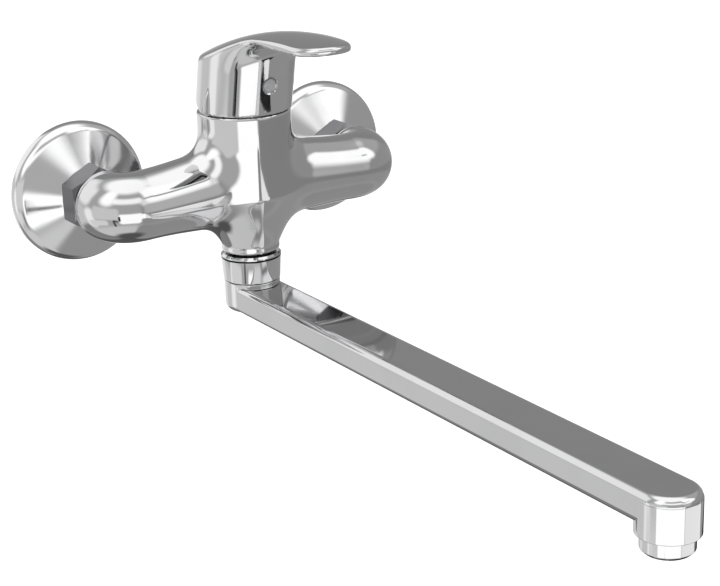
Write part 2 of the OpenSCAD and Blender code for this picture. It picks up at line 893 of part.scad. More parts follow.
// Everything that is cut out of the handle along the stem's own axis
module handle_cuts() {
    socket_w = stem_w + 2 * thread_play;
    wall_in = skirt_d / 2 - skirt_wall;
    translate([-socket_w / 2, -socket_w / 2, hub_rise - over])
        cube([socket_w, socket_w, stem_rise + moving_gap - hub_rise + over]);
    translate([0, 0, screw_rise])
        rotate([90, 0, 0]) {
            cylinder(h = skirt_d, d = screw_d + 2 * thread_play);
            translate([0, 0, wall_in])
                cylinder(h = skirt_wall + over, d = plug_d);
            translate([0, 0, skirt_d / 2 - plug_recess_depth])
                cylinder(h = plug_recess_depth + over, d = plug_recess_d);
        }
}

// The space round the dome, which the hub reaches down into
module handle_cavity() {
    r = skirt_d / 2 - skirt_wall;
    difference() {
        union() {
            sphere(r = r);
            translate([0, 0, -skirt_d])
                cylinder(h = skirt_d, r = r);
        }
        translate([0, 0, hub_rise])
            cylinder(h = r, d = hub_d);
    }
}

module handle() {
    color("silver")
    at_body()
        translate([0, 0, pivot_z])
            difference() {
                union() {
                    skirt_shape();
                    lever_blade();
                }
                rotate([lean, 0, 0]) {
                    handle_cavity();
                    handle_cuts();
                }
            }
}

module handle_screw() {
    color("gray")
    at_stem()
        translate([0, -stem_w / 2, screw_rise])
            rotate([90, 0, 0])
                difference() {
                    cylinder(h = screw_l, d = screw_d);
                    translate([0, 0, screw_l - screw_socket_depth])
                        cylinder(h = screw_socket_depth + over, d = screw_socket_d, $fn = 6);
                }
}

module index_plug() {
    seat = skirt_d / 2 - skirt_wall;
    dome_r = (plug_d * plug_d / 4 + plug_dome_h * plug_dome_h) / (2 * plug_dome_h);
    color("gainsboro")
    at_stem()
        translate([0, -seat, screw_rise])
            rotate([90, 0, 0]) {
                cylinder(h = plug_t, d = plug_d);
                intersection() {
                    translate([0, 0, plug_t + plug_dome_h - dome_r])
                        sphere(r = dome_r);
                    cylinder(h = plug_t + plug_dome_h, d = plug_d);
                }
            }
}

// Spout

// Rounded section of the flat spout, shrunk all round by inset
module bar_section(inset) {
    r = max(0.5, spout_corner_r - inset);
    w = spout_w - 2 * inset;
    h = spout_h - 2 * inset;
    translate([-w / 2, r - h / 2])
        square([w, h - 2 * r]);
    translate([r - w / 2, -h / 2])
        square([w - 2 * r, h]);
    for (x = [-1, 1], y = [-1, 1])
        translate([x * (w / 2 - r), y * (h / 2 - r)])
            circle(r = r);
}

// The flat spout from the barrel's axis to the outlet, shrunk all round by inset
module bar(inset) {
    w = spout_w - 2 * inset;
    intersection() {
        translate([0, 0, (bar_top + bar_bottom) / 2])
            rotate([90, 0, 0])
                linear_extrude(height = spout_l + spout_w)
                    bar_section(inset);
        translate([0, 0, bar_bottom - over])
            union() {
                translate([0, -spout_l, 0])
                    cylinder(h = spout_h + 2 * over, d = w);
                translate([-w / 2, -spout_l, 0])
                    cube([w, spout_l, spout_h + 2 * over]);
            }
    }
}

// The round drum that joins the flat spout to the nut
module drum(inset) {
    r = drum_d / 2 - inset;
    edge = max(0.5, spout_corner_r - inset);
    bottom = bar_bottom + inset;
    rotate_extrude()
        union() {
            translate([0, bottom + edge])
                square([r, drum_top - inset - bottom - edge]);
            translate([0, bottom])
                square([r - edge, edge]);
            intersection() {
                translate([r - edge, bottom + edge])
                    circle(r = edge);
                translate([0, bottom])
                    square([r, edge]);
            }
        }
}

// Heights of the two O-rings on the turning tube
function o_ring_z(i) = stub_top - o_ring_inset - i * o_ring_pitch;

module spout() {
    thread_d = aerator_thread_d + 2 * thread_play;
    color("silver")
    at_body()
        difference() {
            union() {
                bar(0);
                drum(0);
                translate([0, 0, drum_top - over])
                    cylinder(h = slip_ring_bottom - drum_top + over, d = stub_shoulder_d);
                translate([0, 0, drum_top])
                    cylinder(h = stub_l, d = stub_d);
                translate([0, -spout_l, outlet_bottom])
                    cylinder(h = outlet_drop + spout_h - spout_corner_r, d = outlet_d);
            }
            bar(spout_wall);
            drum(spout_wall);
            translate([0, 0, drum_top - 2 * spout_wall])
                cylinder(h = stub_l + 3 * spout_wall, d = stub_bore_d);
            for (i = [0:1])
                translate([0, 0, o_ring_z(i) - o_ring_t / 2 - face_gap])
                    ring(o_ring_t + 2 * face_gap, stub_d + over, o_ring_groove_d);
            translate([0, 0, slip_ring_bottom])
                ring(slip_ring_t + 2 * face_gap, stub_d + over, slip_ring_bore_d);
            translate([0, -spout_l, outlet_bottom - over]) {
                cylinder(h = aerator_thread_l + aerator_washer_t + over, d = thread_d);
                cylinder(h = outlet_drop + spout_h / 2 + over, d = outlet_bore_d);
            }
        }
}

module spout_o_rings() {
    color("black")
    at_body()
        for (i = [0:1])
            translate([0, 0, o_ring_z(i)])
                rotate_extrude()
                    translate([(stub_d - o_ring_t) / 2, 0])
                        circle(d = o_ring_t);
}

module slip_ring() {
    color("white")
    at_body()
        translate([0, 0, slip_ring_bottom])
            difference() {
                ring(slip_ring_t, slip_ring_d, slip_ring_bore_d + 2 * thread_play);
                translate([0, -slip_ring_split / 2, -over])
                    cube([slip_ring_d, slip_ring_split, slip_ring_t + 2 * over]);
            }
}

module spout_nut() {
    color("silver")
    at_body()
        difference() {
            rotate_extrude()
                polygon([
                    [0, nut_bottom],
                    [spout_nut_low_d / 2 - body_chamfer, nut_bottom],
                    [spout_nut_low_d / 2, nut_bottom + body_chamfer],
                    [spout_nut_d / 2, nut_top - spout_nut_chamfer - spout_nut_band_h],
                    [spout_nut_d / 2, nut_top - spout_nut_chamfer],
                    [spout_nut_d / 2 - spout_nut_chamfer, nut_top],
                    [0, nut_top]
                ]);
            translate([0, 0, lip_top])
                cylinder(h = spout_nut_l, d = spigot_d + 2 * thread_play);
            translate([0, 0, nut_bottom - over])
                cylinder(h = spout_nut_l, d = stub_shoulder_d + 2 * moving_gap);
        }
}

// Outlet

module aerator_shell() {
    chamfer = aerator_chamfer;
    color("silver")
    at_outlet()
        difference() {
            union() {
                translate([0, 0, -aerator_h])
                    cylinder(h = chamfer, d1 = aerator_d - 2 * chamfer, d2 = aerator_d);
                translate([0, 0, chamfer - aerator_h])
                    cylinder(h = aerator_h - chamfer, d = aerator_d);
                cylinder(h = aerator_thread_l, d = aerator_thread_d);
            }
            translate([0, 0, -aerator_h - over])
                cylinder(h = aerator_h + aerator_thread_l + 2 * over, d = insert_d);
        }
}

module aerator_insert() {
    pitch = insert_d / (grid_bars + 1);
    height = aerator_h + aerator_thread_l - insert_inset;
    inner_d = insert_d - 2 * insert_wall;
    color("white")
    at_outlet()
        translate([0, 0, insert_inset - aerator_h]) {
            difference() {
                cylinder(h = height, d = insert_d);
                translate([0, 0, -over])
                    cylinder(h = height - insert_wall + over, d = inner_d);
                cylinder(h = height + over, d = insert_hole_d);
            }
            intersection() {
                cylinder(h = grid_t, d = inner_d + insert_wall);
                for (i = [1:grid_bars], turn = [0, 90])
                    rotate(turn)
                        translate([i * pitch - insert_d / 2 - grid_bar_w / 2, -insert_d / 2, 0])
                            cube([grid_bar_w, insert_d, grid_t]);
            }
        }
}

module aerator_washer() {
    color("black")
    at_outlet()
        translate([0, 0, aerator_thread_l])
            ring(aerator_washer_t, aerator_thread_d, aerator_washer_bore_d);
}

body();
inlet_nipple(-1);  // inlet_nipple_left
inlet_nipple(1);  // inlet_nipple_right
union_nut(-1);  // union_nut_left
union_nut(1);  // union_nut_right
inlet_washer(-1);  // inlet_washer_left
inlet_washer(1);  // inlet_washer_right
eccentric_union(-1);  // eccentric_union_left
eccentric_union(1);  // eccentric_union_right
escutcheon(-1);  // escutcheon_left
escutcheon(1);  // escutcheon_right
cartridge_base();
port_seals();
fixed_disc();
moving_disc();
disc_carrier();
cartridge_housing();
stem_guide();
pivot_pin();
stem();
retaining_nut();
dome_cover();
handle();
handle_screw();
index_plug();
spout();
spout_nut();
slip_ring();
spout_o_rings();
aerator_shell();
aerator_insert();
aerator_washer();
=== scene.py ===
"""Dresses the wall-mounted sink mixer: its studio, its chrome pieces and every finish."""

import logging
import math
from dataclasses import dataclass, replace
from enum import Enum
from typing import Callable, Sequence

import bpy
import numpy as np
from mathutils import Matrix, Vector


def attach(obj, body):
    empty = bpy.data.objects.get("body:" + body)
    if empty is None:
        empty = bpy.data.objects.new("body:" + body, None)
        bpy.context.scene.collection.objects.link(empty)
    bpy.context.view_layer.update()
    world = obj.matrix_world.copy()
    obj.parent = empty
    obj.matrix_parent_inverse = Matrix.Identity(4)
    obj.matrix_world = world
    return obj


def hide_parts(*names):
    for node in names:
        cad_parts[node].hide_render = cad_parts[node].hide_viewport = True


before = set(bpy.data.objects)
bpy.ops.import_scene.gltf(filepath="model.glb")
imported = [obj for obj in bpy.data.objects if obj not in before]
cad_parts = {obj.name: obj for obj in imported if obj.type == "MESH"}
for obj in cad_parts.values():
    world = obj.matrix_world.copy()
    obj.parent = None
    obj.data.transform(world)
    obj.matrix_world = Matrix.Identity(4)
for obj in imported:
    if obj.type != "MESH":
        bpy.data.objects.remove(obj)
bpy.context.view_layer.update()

LOG = logging.getLogger("mixer")
MM = 0.001
BARREL_AT = Vector((0.0, -50.0, -10.0)) * MM
PIVOT_AT = Vector((0.0, -50.0, 31.5)) * MM
LEAN = math.radians(12.5)
SMOOTH_ANGLE = math.radians(32)
CRISP_ANGLE = math.radians(20)
WELD = 0.002 * MM
TINY = 1e-6
WHITE = (1.0, 1.0, 1.0, 1.0)
Points = np.ndarray
Outline = list[tuple[float, float]]


def blend_min(a: Points, b: Points, k: float) -> Points:
    """Join two distance fields with a fillet.

    Args:
        a: Distances to the first form.
        b: Distances to the second form.
        k: Width of the fillet.

    Returns:
        Distances to the joined form.
    """
    h = np.clip(0.5 + 0.5 * (b - a) / k, 0.0, 1.0)
    return b + (a - b) * h - k * h * (1.0 - h)


def blend_max(a: Points, b: Points, k: float) -> Points:
    """Intersect two distance fields with a rounded edge of width k."""
    return -blend_min(-a, -b, k)


def arc(centre: tuple[float, float], radius: float, start: float, end: float, steps: int = 6) -> Outline:
    """Points along a circular arc of an outline.

    Args:
        centre: Radius and height of the arc's centre.
        radius: The arc's own radius.
        start: First angle in degrees, counted from straight outwards.
        end: Last angle in degrees.
        steps: Number of chords.

    Returns:
        The points from start to end.
    """
    turns = [math.radians(start + (end - start) * i / steps) for i in range(steps + 1)]
    return [(centre[0] + radius * math.cos(t), centre[1] + radius * math.sin(t)) for t in turns]


class Cut(Enum):
    """How one solid changes another."""

    JOIN = "UNION"
    REMOVE = "DIFFERENCE"
    KEEP = "INTERSECT"


class Bench:
    """Hand work on meshes: primitives, steps in edit mode and applied modifiers."""

    @staticmethod
    def clear() -> None:
        """Leave edit mode and deselect everything."""
        active = bpy.context.view_layer.objects.active
        if active and active.mode != "OBJECT":
            bpy.ops.object.mode_set(mode="OBJECT")
        bpy.ops.object.select_all(action="DESELECT")

    @staticmethod
    def pick(piece: bpy.types.Object) -> None:
        """Make one piece the only selected and active object."""
        Bench.clear()
        piece.select_set(True)
        bpy.context.view_layer.objects.active = piece

    @staticmethod
    def named(name: str) -> bpy.types.Object:
        """Name the piece that was just added, and return it."""
        piece = bpy.context.view_layer.objects.active
        piece.name = name
        piece.data.name = name
        return piece

    @staticmethod
    def place(piece: bpy.types.Object, where: Matrix) -> None:
        """Move a piece and put its new place in its mesh."""
        Bench.pick(piece)
        piece.matrix_world = where
        bpy.ops.object.transform_apply(location=True, rotation=True, scale=True)

    @staticmethod
    def modify(piece: bpy.types.Object, kind: str, **settings: object) -> None:
        """Add one modifier and apply it.

        Args:
            piece: The piece to change.
            kind: Blender's name for the modifier.
            **settings: The modifier's own settings.
        """
        Bench.pick(piece)
        modifier = piece.modifiers.new(kind.lower(), kind)
        for key, value in settings.items():
            setattr(modifier, key, value)
        bpy.ops.object.modifier_apply(modifier=modifier.name)

    @staticmethod
    def combine(piece: bpy.types.Object, tool: bpy.types.Object, cut: Cut) -> None:
        """Join, cut or trim a piece with a tool solid, and throw the tool away."""
        Bench.modify(piece, "BOOLEAN", operation=cut.value, solver="EXACT", object=tool)
        bpy.data.objects.remove(tool, do_unlink=True)

    @staticmethod
    def gather(name: str, parts: Sequence[bpy.types.Object]) -> bpy.types.Object:
        """Join several meshes into one object without merging them.

        Args:
            name: The new object's name.
            parts: The objects to join; they are used up.

        Returns:
            The joined object.
        """
        Bench.clear()
        for part in parts:
            part.select_set(True)
        bpy.context.view_layer.objects.active = parts[0]
        bpy.ops.object.join()
        return Bench.named(name)

    @staticmethod
    def smooth(piece: bpy.types.Object, angle: float = SMOOTH_ANGLE) -> None:
        """Shade a piece smooth, with edges sharper than the angle left sharp."""
        Bench.pick(piece)
        bpy.ops.object.shade_smooth_by_angle(angle=angle)

    @staticmethod
    def rod(name: str, radius: float, start: Vector, end: Vector, sides: int = 96) -> bpy.types.Object:
        """Make a straight round rod between two points.

        Args:
            name: The rod's name.
            radius: Its radius in metres.
            start: Middle of one end.
            end: Middle of the other end.
            sides: Number of sides round it.

        Returns:
            The rod.
        """
        Bench.clear()
        along = end - start
        bpy.ops.mesh.primitive_cylinder_add(vertices=sides, radius=radius, depth=along.length)
        piece = Bench.named(name)
        Bench.place(piece, facing((start + end) / 2, along))
        return piece

    @staticmethod
    def box(name: str, size: tuple[float, float, float], where: Matrix) -> bpy.types.Object:
        """Make a box.

        Args:
            name: The box's name.
            size: Its three sides in metres.
            where: The frame at its middle.

        Returns:
            The box.
        """
        Bench.clear()
        bpy.ops.mesh.primitive_cube_add(size=1.0)
        piece = Bench.named(name)
        Bench.place(piece, where @ Matrix.Diagonal((*size, 1.0)))
        return piece

    @staticmethod
    def ball(name: str, radius: float, centre: Vector) -> bpy.types.Object:
        """Make a ball.

        Args:
            name: The ball's name.
            radius: Its radius in metres.
            centre: Its middle.

        Returns:
            The ball.
        """
        Bench.clear()
        bpy.ops.mesh.primitive_uv_sphere_add(segments=64, ring_count=32, radius=radius)
        piece = Bench.named(name)
        Bench.place(piece, Matrix.Translation(centre))
        return piece

    @staticmethod
    def turned(name: str, outline: Outline, where: Matrix, steps: int = 96) -> bpy.types.Object:
        """Turn an outline round its axis, as on a lathe.

        Args:
            name: The new piece's name.
            outline: Radius and height of each point, in millimetres.
            where: Takes the lathe's frame, with its axis on +Z, to the object's frame.
            steps: Number of steps round the axis.

        Returns:
            The turned piece.
        """
        Bench.clear()
        bpy.ops.mesh.primitive_plane_add(size=MM)
        piece = Bench.named(name)
        bpy.ops.object.mode_set(mode="EDIT")
        bpy.ops.mesh.select_mode(type="VERT")
        bpy.ops.mesh.select_all(action="SELECT")
        bpy.ops.mesh.merge(type="CENTER")
        at = Vector((0, 0, 0))
        for number, (radius, height) in enumerate(outline):
            point = Vector((radius, 0, height)) * MM
            if number:
                bpy.ops.mesh.extrude_vertices_move(TRANSFORM_OT_translate={"value": point - at})
            else:
                bpy.ops.transform.translate(value=point - at)
            at = point
        bpy.ops.mesh.select_all(action="SELECT")
        bpy.ops.mesh.spin(steps=steps, angle=math.tau, center=(0, 0, 0), axis=(0, 0, 1))
        bpy.ops.mesh.select_all(action="SELECT")
        bpy.ops.mesh.remove_doubles(threshold=WELD)
        bpy.ops.mesh.normals_make_consistent(inside=False)
        bpy.ops.object.mode_set(mode="OBJECT")
        Bench.place(piece, where)
        return piece

    @staticmethod
    def relax(piece: bpy.types.Object, repeat: int = 3) -> None:
        """Even out the spacing of a piece's points."""
        Bench.pick(piece)
        bpy.ops.object.mode_set(mode="EDIT")
        bpy.ops.mesh.select_all(action="SELECT")
        bpy.ops.mesh.vertices_smooth(factor=0.5, repeat=repeat)
        bpy.ops.object.mode_set(mode="OBJECT")

    @staticmethod
    def settle(
        piece: bpy.types.Object, form: Callable[[Points], Points], origin: Vector, passes: int = 5
    ) -> None:
        """Draw a piece's points onto the skin of a form, along its slope.

        Args:
            piece: The piece whose points move.
            form: Distance to the form's skin, for points in millimetres.
            origin: The form's own origin, in metres.
            passes: Number of corrections.
        """
        count = len(piece.data.vertices)
        flat = np.empty(count * 3)
        piece.data.vertices.foreach_get("co", flat)
        points = (flat.reshape(count, 3) - np.array(origin)) / MM
        small = 0.02
        least_steep = 0.25
        longest_move = 1.5
        for _ in range(passes):
            slope = np.empty_like(points)
            for axis in range(3):
                nudge = np.zeros(3)
                nudge[axis] = small
                slope[:, axis] = (form(points + nudge) - form(points - nudge)) / (2 * small)
            steep = np.maximum((slope**2).sum(axis=1), least_steep)
            move = np.clip(form(points) / steep, -longest_move, longest_move)
            points = points - move[:, None] * slope
        piece.data.vertices.foreach_set("co", (points * MM + np.array(origin)).ravel())
        piece.data.update()


def facing(origin: Vector, direction: Vector) -> Matrix:
    """The frame at origin whose +Z points along direction."""
    turn = Vector((0, 0, 1)).rotation_difference(direction).to_matrix().to_4x4()
    return Matrix.Translation(origin) @ turn


class Value:
    """A value socket that can be used in plain arithmetic."""

    def __init__(self, graph: "Graph", socket: bpy.types.NodeSocket) -> None:
        """Keep the socket and the graph that it belongs to."""
        self.graph = graph
        self.socket = socket

    def _math(self, operation: str, *values: object) -> "Value":
        """Add one Math node for an operation on values."""
        node = self.graph.add("ShaderNodeMath", {"operation": operation}, dict(enumerate(values)))
        return Value(self.graph, node.outputs[0])

    def __add__(self, other: object) -> "Value":
        """Sum."""
        return self._math("ADD", self, other)

    def __radd__(self, other: object) -> "Value":
        """Sum with a number on the left."""
        return self._math("ADD", other, self)

    def __sub__(self, other: object) -> "Value":
        """Difference."""
        return self._math("SUBTRACT", self, other)

    def __rsub__(self, other: object) -> "Value":
        """Difference from a number on the left."""
        return self._math("SUBTRACT", other, self)

    def __mul__(self, other: object) -> "Value":
        """Product."""
        return self._math("MULTIPLY", self, other)

    def __rmul__(self, other: object) -> "Value":
        """Product with a number on the left."""
        return self._math("MULTIPLY", other, self)

    def arctan2(self, other: "Value") -> "Value":
        """The angle whose tangent is this value over the other."""
        return self._math("ARCTAN2", self, other)

    def arcsine(self) -> "Value":
        """The angle whose sine is this value."""
        return self._math("ARCSINE", self)

    def size(self) -> "Value":
        """This value without its sign."""
        return self._math("ABSOLUTE", self)

    def root(self) -> "Value":
        """Square root."""
        return self._math("SQRT", self)

    def above(self, least: float) -> "Value":
        """This value, or the least one if that is more."""
        return self._math("MAXIMUM", self, least)

    def ramp(self, low: float, high: float) -> "Value":
        """A smooth step from 0 at low to 1 at high."""
        settings = {"interpolation_type": "SMOOTHSTEP"}
        node = self.graph.add("ShaderNodeMapRange", settings, {0: self, 1: low, 2: high})
        return Value(self.graph, node.outputs[0])


class Graph:
    """The nodes of one material or of the world."""

    def __init__(self, owner: bpy.types.Material | bpy.types.World) -> None:
        """Start from an empty node tree."""
        owner.use_nodes = True
        self.tree = owner.node_tree
        self.tree.nodes.clear()

    def add(self, kind: str, settings: dict[str, object], inputs: dict[object, object]) -> bpy.types.Node:
        """Add one node.

        Args:
            kind: Blender's type name for the node.
            settings: The node's own settings, set first.
            inputs: Values, colours, Value objects or sockets by input name or number.

        Returns:
            The new node.
        """
        node = self.tree.nodes.new(kind)
        for key, value in settings.items():
            setattr(node, key, value)
        for key, value in inputs.items():
            source = value.socket if isinstance(value, Value) else value
            if isinstance(source, bpy.types.NodeSocket):
                self.tree.links.new(source, node.inputs[key])
            else:
                node.inputs[key].default_value = source
        return node

    def mix(self, mask: Value, low: object, high: object) -> bpy.types.NodeSocket:
        """A colour between two, each a colour or a socket, by a mask."""
        node = self.add("ShaderNodeMix", {"data_type": "RGBA"}, {0: mask, 6: low, 7: high})
        return node.outputs[2]

    def noise(self, where: bpy.types.NodeSocket, scale: float, detail: float) -> Value:
        """Noise of a given scale in parts per metre."""
        inputs = {"Vector": where, "Scale": scale, "Detail": detail}
        return Value(self, self.add("ShaderNodeTexNoise", {}, inputs).outputs[0])

    def bump(self, height: Value, depth: float) -> bpy.types.NodeSocket:
        """Turn a height into a relief.

        Args:
            height: The height, from 0 to 1.
            depth: The relief's depth in metres.

        Returns:
            The bumped normal.
        """
        inputs = {"Strength": 1.0, "Distance": depth, "Height": height}
        return self.add("ShaderNodeBump", {}, inputs).outputs["Normal"]

    def object_place(self) -> bpy.types.NodeSocket:
        """The point on the surface in the object's own frame."""
        return self.add("ShaderNodeTexCoord", {}, {}).outputs["Object"]

    def stretched(self, where: bpy.types.NodeSocket, scale: Sequence[float]) -> bpy.types.NodeSocket:
        """The same place with each axis stretched."""
        return self.add("ShaderNodeMapping", {}, {"Vector": where, "Scale": scale}).outputs[0]

    def shade(self, inputs: dict[object, object]) -> None:
        """End the material in one Principled shader."""
        shader = self.add("ShaderNodeBsdfPrincipled", {}, inputs)
        self.add("ShaderNodeOutputMaterial", {}, {"Surface": shader.outputs[0]})


@dataclass(frozen=True)
class Finish:
    """A finish with a mottled colour, a mottled sheen and a fine relief.

    The relief is grain, in parts per metre along each axis, and its depth is in metres.
    """

    name: str
    colour: tuple[float, float, float]
    shade: float = 0.92
    metallic: float = 0.0
    sheen_low: float = 0.3
    sheen_high: float = 0.45
    mottle: float = 120.0
    mottle_range: tuple[float, float] = (0.35, 0.68)
    grain: tuple[float, float, float] = (4000.0, 4000.0, 4000.0)
    depth: float = 0.00001
    coat: float = 0.0

    def material(self) -> bpy.types.Material:
        """Build the finish once, and return its material."""
        known = bpy.data.materials.get(self.name)
        if known:
            return known
        material = bpy.data.materials.new(self.name)
        self.paint(Graph(material))
        return material

    def tone(self, graph: Graph, mask: Value) -> bpy.types.NodeSocket:
        """The darker shade where the mask is 0, and the full colour where it is 1."""
        dark = tuple(c * self.shade for c in self.colour)
        return graph.mix(mask, (*dark, 1.0), (*self.colour, 1.0))

    def sheen(self, mask: Value) -> Value:
        """The low roughness where the mask is 0, and the high one where it is 1."""
        return self.sheen_low + (self.sheen_high - self.sheen_low) * mask

    def paint(self, graph: Graph) -> None:
        """Lay the nodes of the finish."""
        place = graph.object_place()
        cloud = graph.noise(place, self.mottle, detail=4.0).ramp(*self.mottle_range)
        relief = graph.noise(graph.stretched(place, self.grain), 1.0, detail=3.0)
        graph.shade({
            "Base Color": self.tone(graph, cloud),
            "Metallic": self.metallic,
            "Roughness": self.sheen(cloud),
            "Coat Weight": self.coat,
            "Normal": graph.bump(relief, self.depth),
        })


@dataclass(frozen=True)
class PolishedChrome(Finish):
    """Bright chrome plate over brass: wiping haze, hairline scratches and a faint waviness.

    Between two heights in millimetres, on a piece that has them, the colour is painted near-black: painted
    shade for the groove between two parts.
    """

    haze: float = 38.0
    haze_range: tuple[float, float] = (0.42, 0.72)
    hairline: tuple[float, float, float] = (260.0, 260.0, 9000.0)
    hairline_range: tuple[float, float] = (0.66, 0.74)
    scratch: float = 0.02
    wave: float = 90.0
    wave_depth: float = 0.000012
    painted_shade_band: tuple[float, float] | None = None
    painted_shade_soft: float = 0.1
    painted_shade_colour: tuple[float, float, float, float] = (0.01, 0.01, 0.01, 1.0)

    def plate(self, graph: Graph, place: bpy.types.NodeSocket, wiped: Value) -> bpy.types.NodeSocket:
        """Colour the plate, with a painted band of groove shade across it.

        Args:
            graph: The material's nodes.
            place: The point on the surface.
            wiped: The wiping haze.

        Returns:
            The colour.
        """
        plain = self.tone(graph, 1.0 - wiped)
        if self.painted_shade_band is None:
            return plain
        rise = Value(graph, graph.add("ShaderNodeSeparateXYZ", {}, {0: place}).outputs[2])
        low, high = (z * MM for z in self.painted_shade_band)
        soft = self.painted_shade_soft * MM
        # painted shade: a near-black band where the groove between the parts falls in shade
        shadow = rise.ramp(low - soft, low + soft) * rise.ramp(high + soft, high - soft)
        return graph.mix(shadow, plain, self.painted_shade_colour)

    def paint(self, graph: Graph) -> None:
        """Lay the nodes of the chrome."""
        place = graph.object_place()
        wiped = graph.noise(place, self.haze, detail=5.0).ramp(*self.haze_range)
        scratches = graph.noise(graph.stretched(place, self.hairline), 1.0, detail=2.0)
        lines = scratches.ramp(*self.hairline_range)
        swell = graph.noise(place, self.wave, detail=0.0)
        graph.shade({
            "Base Color": self.plate(graph, place, wiped),
            "Metallic": 1.0,
            "Roughness": self.sheen(wiped) + self.scratch * lines,
            "Normal": graph.bump(swell, self.wave_depth),
        })


@dataclass(frozen=True)
class TurnedMetal(Finish):
    """Metal off the lathe, with rings of tool marks along one axis."""

    stain_range: tuple[float, float] = (0.3, 0.7)
    spread: float = 120.0
    pitch: float = 0.00035
    axis: int = 2

    def paint(self, graph: Graph) -> None:
        """Lay the nodes of the turned metal."""
        place = graph.object_place()
        cloud = graph.noise(place, self.mottle, detail=3.0).ramp(*self.stain_range)
        stretch = [self.spread] * 3
        stretch[self.axis] = 1.0 / self.pitch
        rings = graph.noise(graph.stretched(place, stretch), 1.0, detail=1.0)
        graph.shade({
            "Base Color": self.tone(graph, cloud),
            "Metallic": 1.0,
            "Roughness": self.sheen(rings),
            "Normal": graph.bump(rings, self.depth),
        })


CHROME = PolishedChrome("chrome_plate", (0.63, 0.63, 0.635), 0.97, sheen_low=0.04, sheen_high=0.085)
# The body and the spout nut carry a band of painted groove shade.
BODY_CHROME = replace(CHROME, name="body_chrome", painted_shade_band=(-46.4, -44.7))
SPOUT_NUT_CHROME = replace(CHROME, name="spout_nut_chrome", painted_shade_band=(-48.3, -47.3))
# Painted light: the escutcheons' chrome colour is lighter than the cast chrome so their reflections render
# brighter; their higher roughness is their own.
LIGHTENED_SHEET_CHROME = PolishedChrome("escutcheon_chrome_painted_light", (0.7, 0.7, 0.705), 0.97, sheen_low=0.1, sheen_high=0.15)
# Painted reflection: the union nuts' chrome colour is darkened to dark grey so they render darker than the
# rest of the chrome; their roughness is their own.
PAINTED_DARK_NUT_CHROME = PolishedChrome("union_nut_painted_shade", (0.2, 0.2, 0.21), 0.9, sheen_low=0.06, sheen_high=0.14)
BRASS = TurnedMetal(
    "turned_brass_z", (0.72, 0.52, 0.24), 0.85, sheen_low=0.22, sheen_high=0.4, depth=0.00002
)
NICKEL = replace(BRASS, name="turned_nickel", colour=(0.5, 0.49, 0.47), axis=1)
STEEL = TurnedMetal("turned_steel", (0.56, 0.56, 0.57), 0.9, sheen_low=0.2, sheen_high=0.36, axis=0)
DRAWN_STEEL = Finish(
    "drawn_steel", (0.5, 0.5, 0.51), 0.9, 1.0, 0.25, 0.4, grain=(9000.0, 9000.0, 300.0), depth=0.000008
)
RUBBER = Finish(
    "seal_rubber", (0.028, 0.028, 0.03), 0.8, 0.0, 0.62, 0.8, grain=(5000.0,) * 3, depth=0.00002
)
CERAMIC = Finish(
    "disc_ceramic", (0.86, 0.85, 0.82), 0.97, 0.0, 0.12, 0.22, grain=(9000.0,) * 3, depth=0.000003
)
NYLON = Finish(
    "moulded_nylon", (0.62, 0.63, 0.64), 0.93, 0.0, 0.4, 0.55, grain=(2600.0,) * 3, depth=0.00002
)
WHITE_NYLON = Finish(
    "white_nylon", (0.82, 0.82, 0.8), 0.95, 0.0, 0.36, 0.5, grain=(2600.0,) * 3, depth=0.000015
)
PLUG_PLASTIC = Finish(
    "plug_plastic", (0.42, 0.43, 0.44), 0.9, 0.0, 0.16, 0.28, grain=(3000.0,) * 3, coat=0.4
)

NODE_FINISHES: dict[str, Finish] = {
    "inlet_nipple_left": CHROME,
    "inlet_nipple_right": CHROME,
    "inlet_washer_left": RUBBER,
    "inlet_washer_right": RUBBER,
    "eccentric_union_left": NICKEL,
    "eccentric_union_right": NICKEL,
    "cartridge_base": NYLON,
    "port_seals": RUBBER,
    "fixed_disc": CERAMIC,
    "moving_disc": CERAMIC,
    "disc_carrier": NYLON,
    "cartridge_housing": WHITE_NYLON,
    "stem_guide": NYLON,
    "pivot_pin": STEEL,
    "stem": DRAWN_STEEL,
    "retaining_nut": BRASS,
    "dome_cover": CHROME,
    "handle_screw": STEEL,
    "slip_ring": WHITE_NYLON,
    "spout_o_rings": RUBBER,
    "aerator_insert": WHITE_NYLON,
    "aerator_washer": RUBBER,
}


@dataclass(frozen=True)
class Screen:
    """A soft box or a grey screen of the studio, by the directions that it covers in degrees.

    Azimuth 0 looks out of the wall and grows to the right; level 1.6 shows as white in the plate.
    """

    left: float
    right: float
    low: float
    high: float
    level: float
    soft: float = 4.0

    def mask(self, azimuth: Value, height: Value) -> Value:
        """Mask the screen, with soft edges and rounded corners.

        Args:
            azimuth: Azimuth of the direction, in degrees.
            height: Its height over the horizon, in degrees.

        Returns:
            1 on the screen and 0 off it.
        """
        half_w = (self.right - self.left) / 2
        half_h = (self.high - self.low) / 2
        corner = min(2.0 * self.soft, half_w, half_h)
        across = ((azimuth - (self.left + self.right) / 2).size() - half_w + corner).above(0.0)
        upright = ((height - (self.low + self.high) / 2).size() - half_h + corner).above(0.0)
        away = (across * across + upright * upright).root() - corner
        return away.ramp(self.soft, -self.soft)

    def over(self, below: Value | float, azimuth: Value, height: Value) -> Value:
        """Lay the screen over the studio's light so far."""
        return below + (self.level - below) * self.mask(azimuth, height)


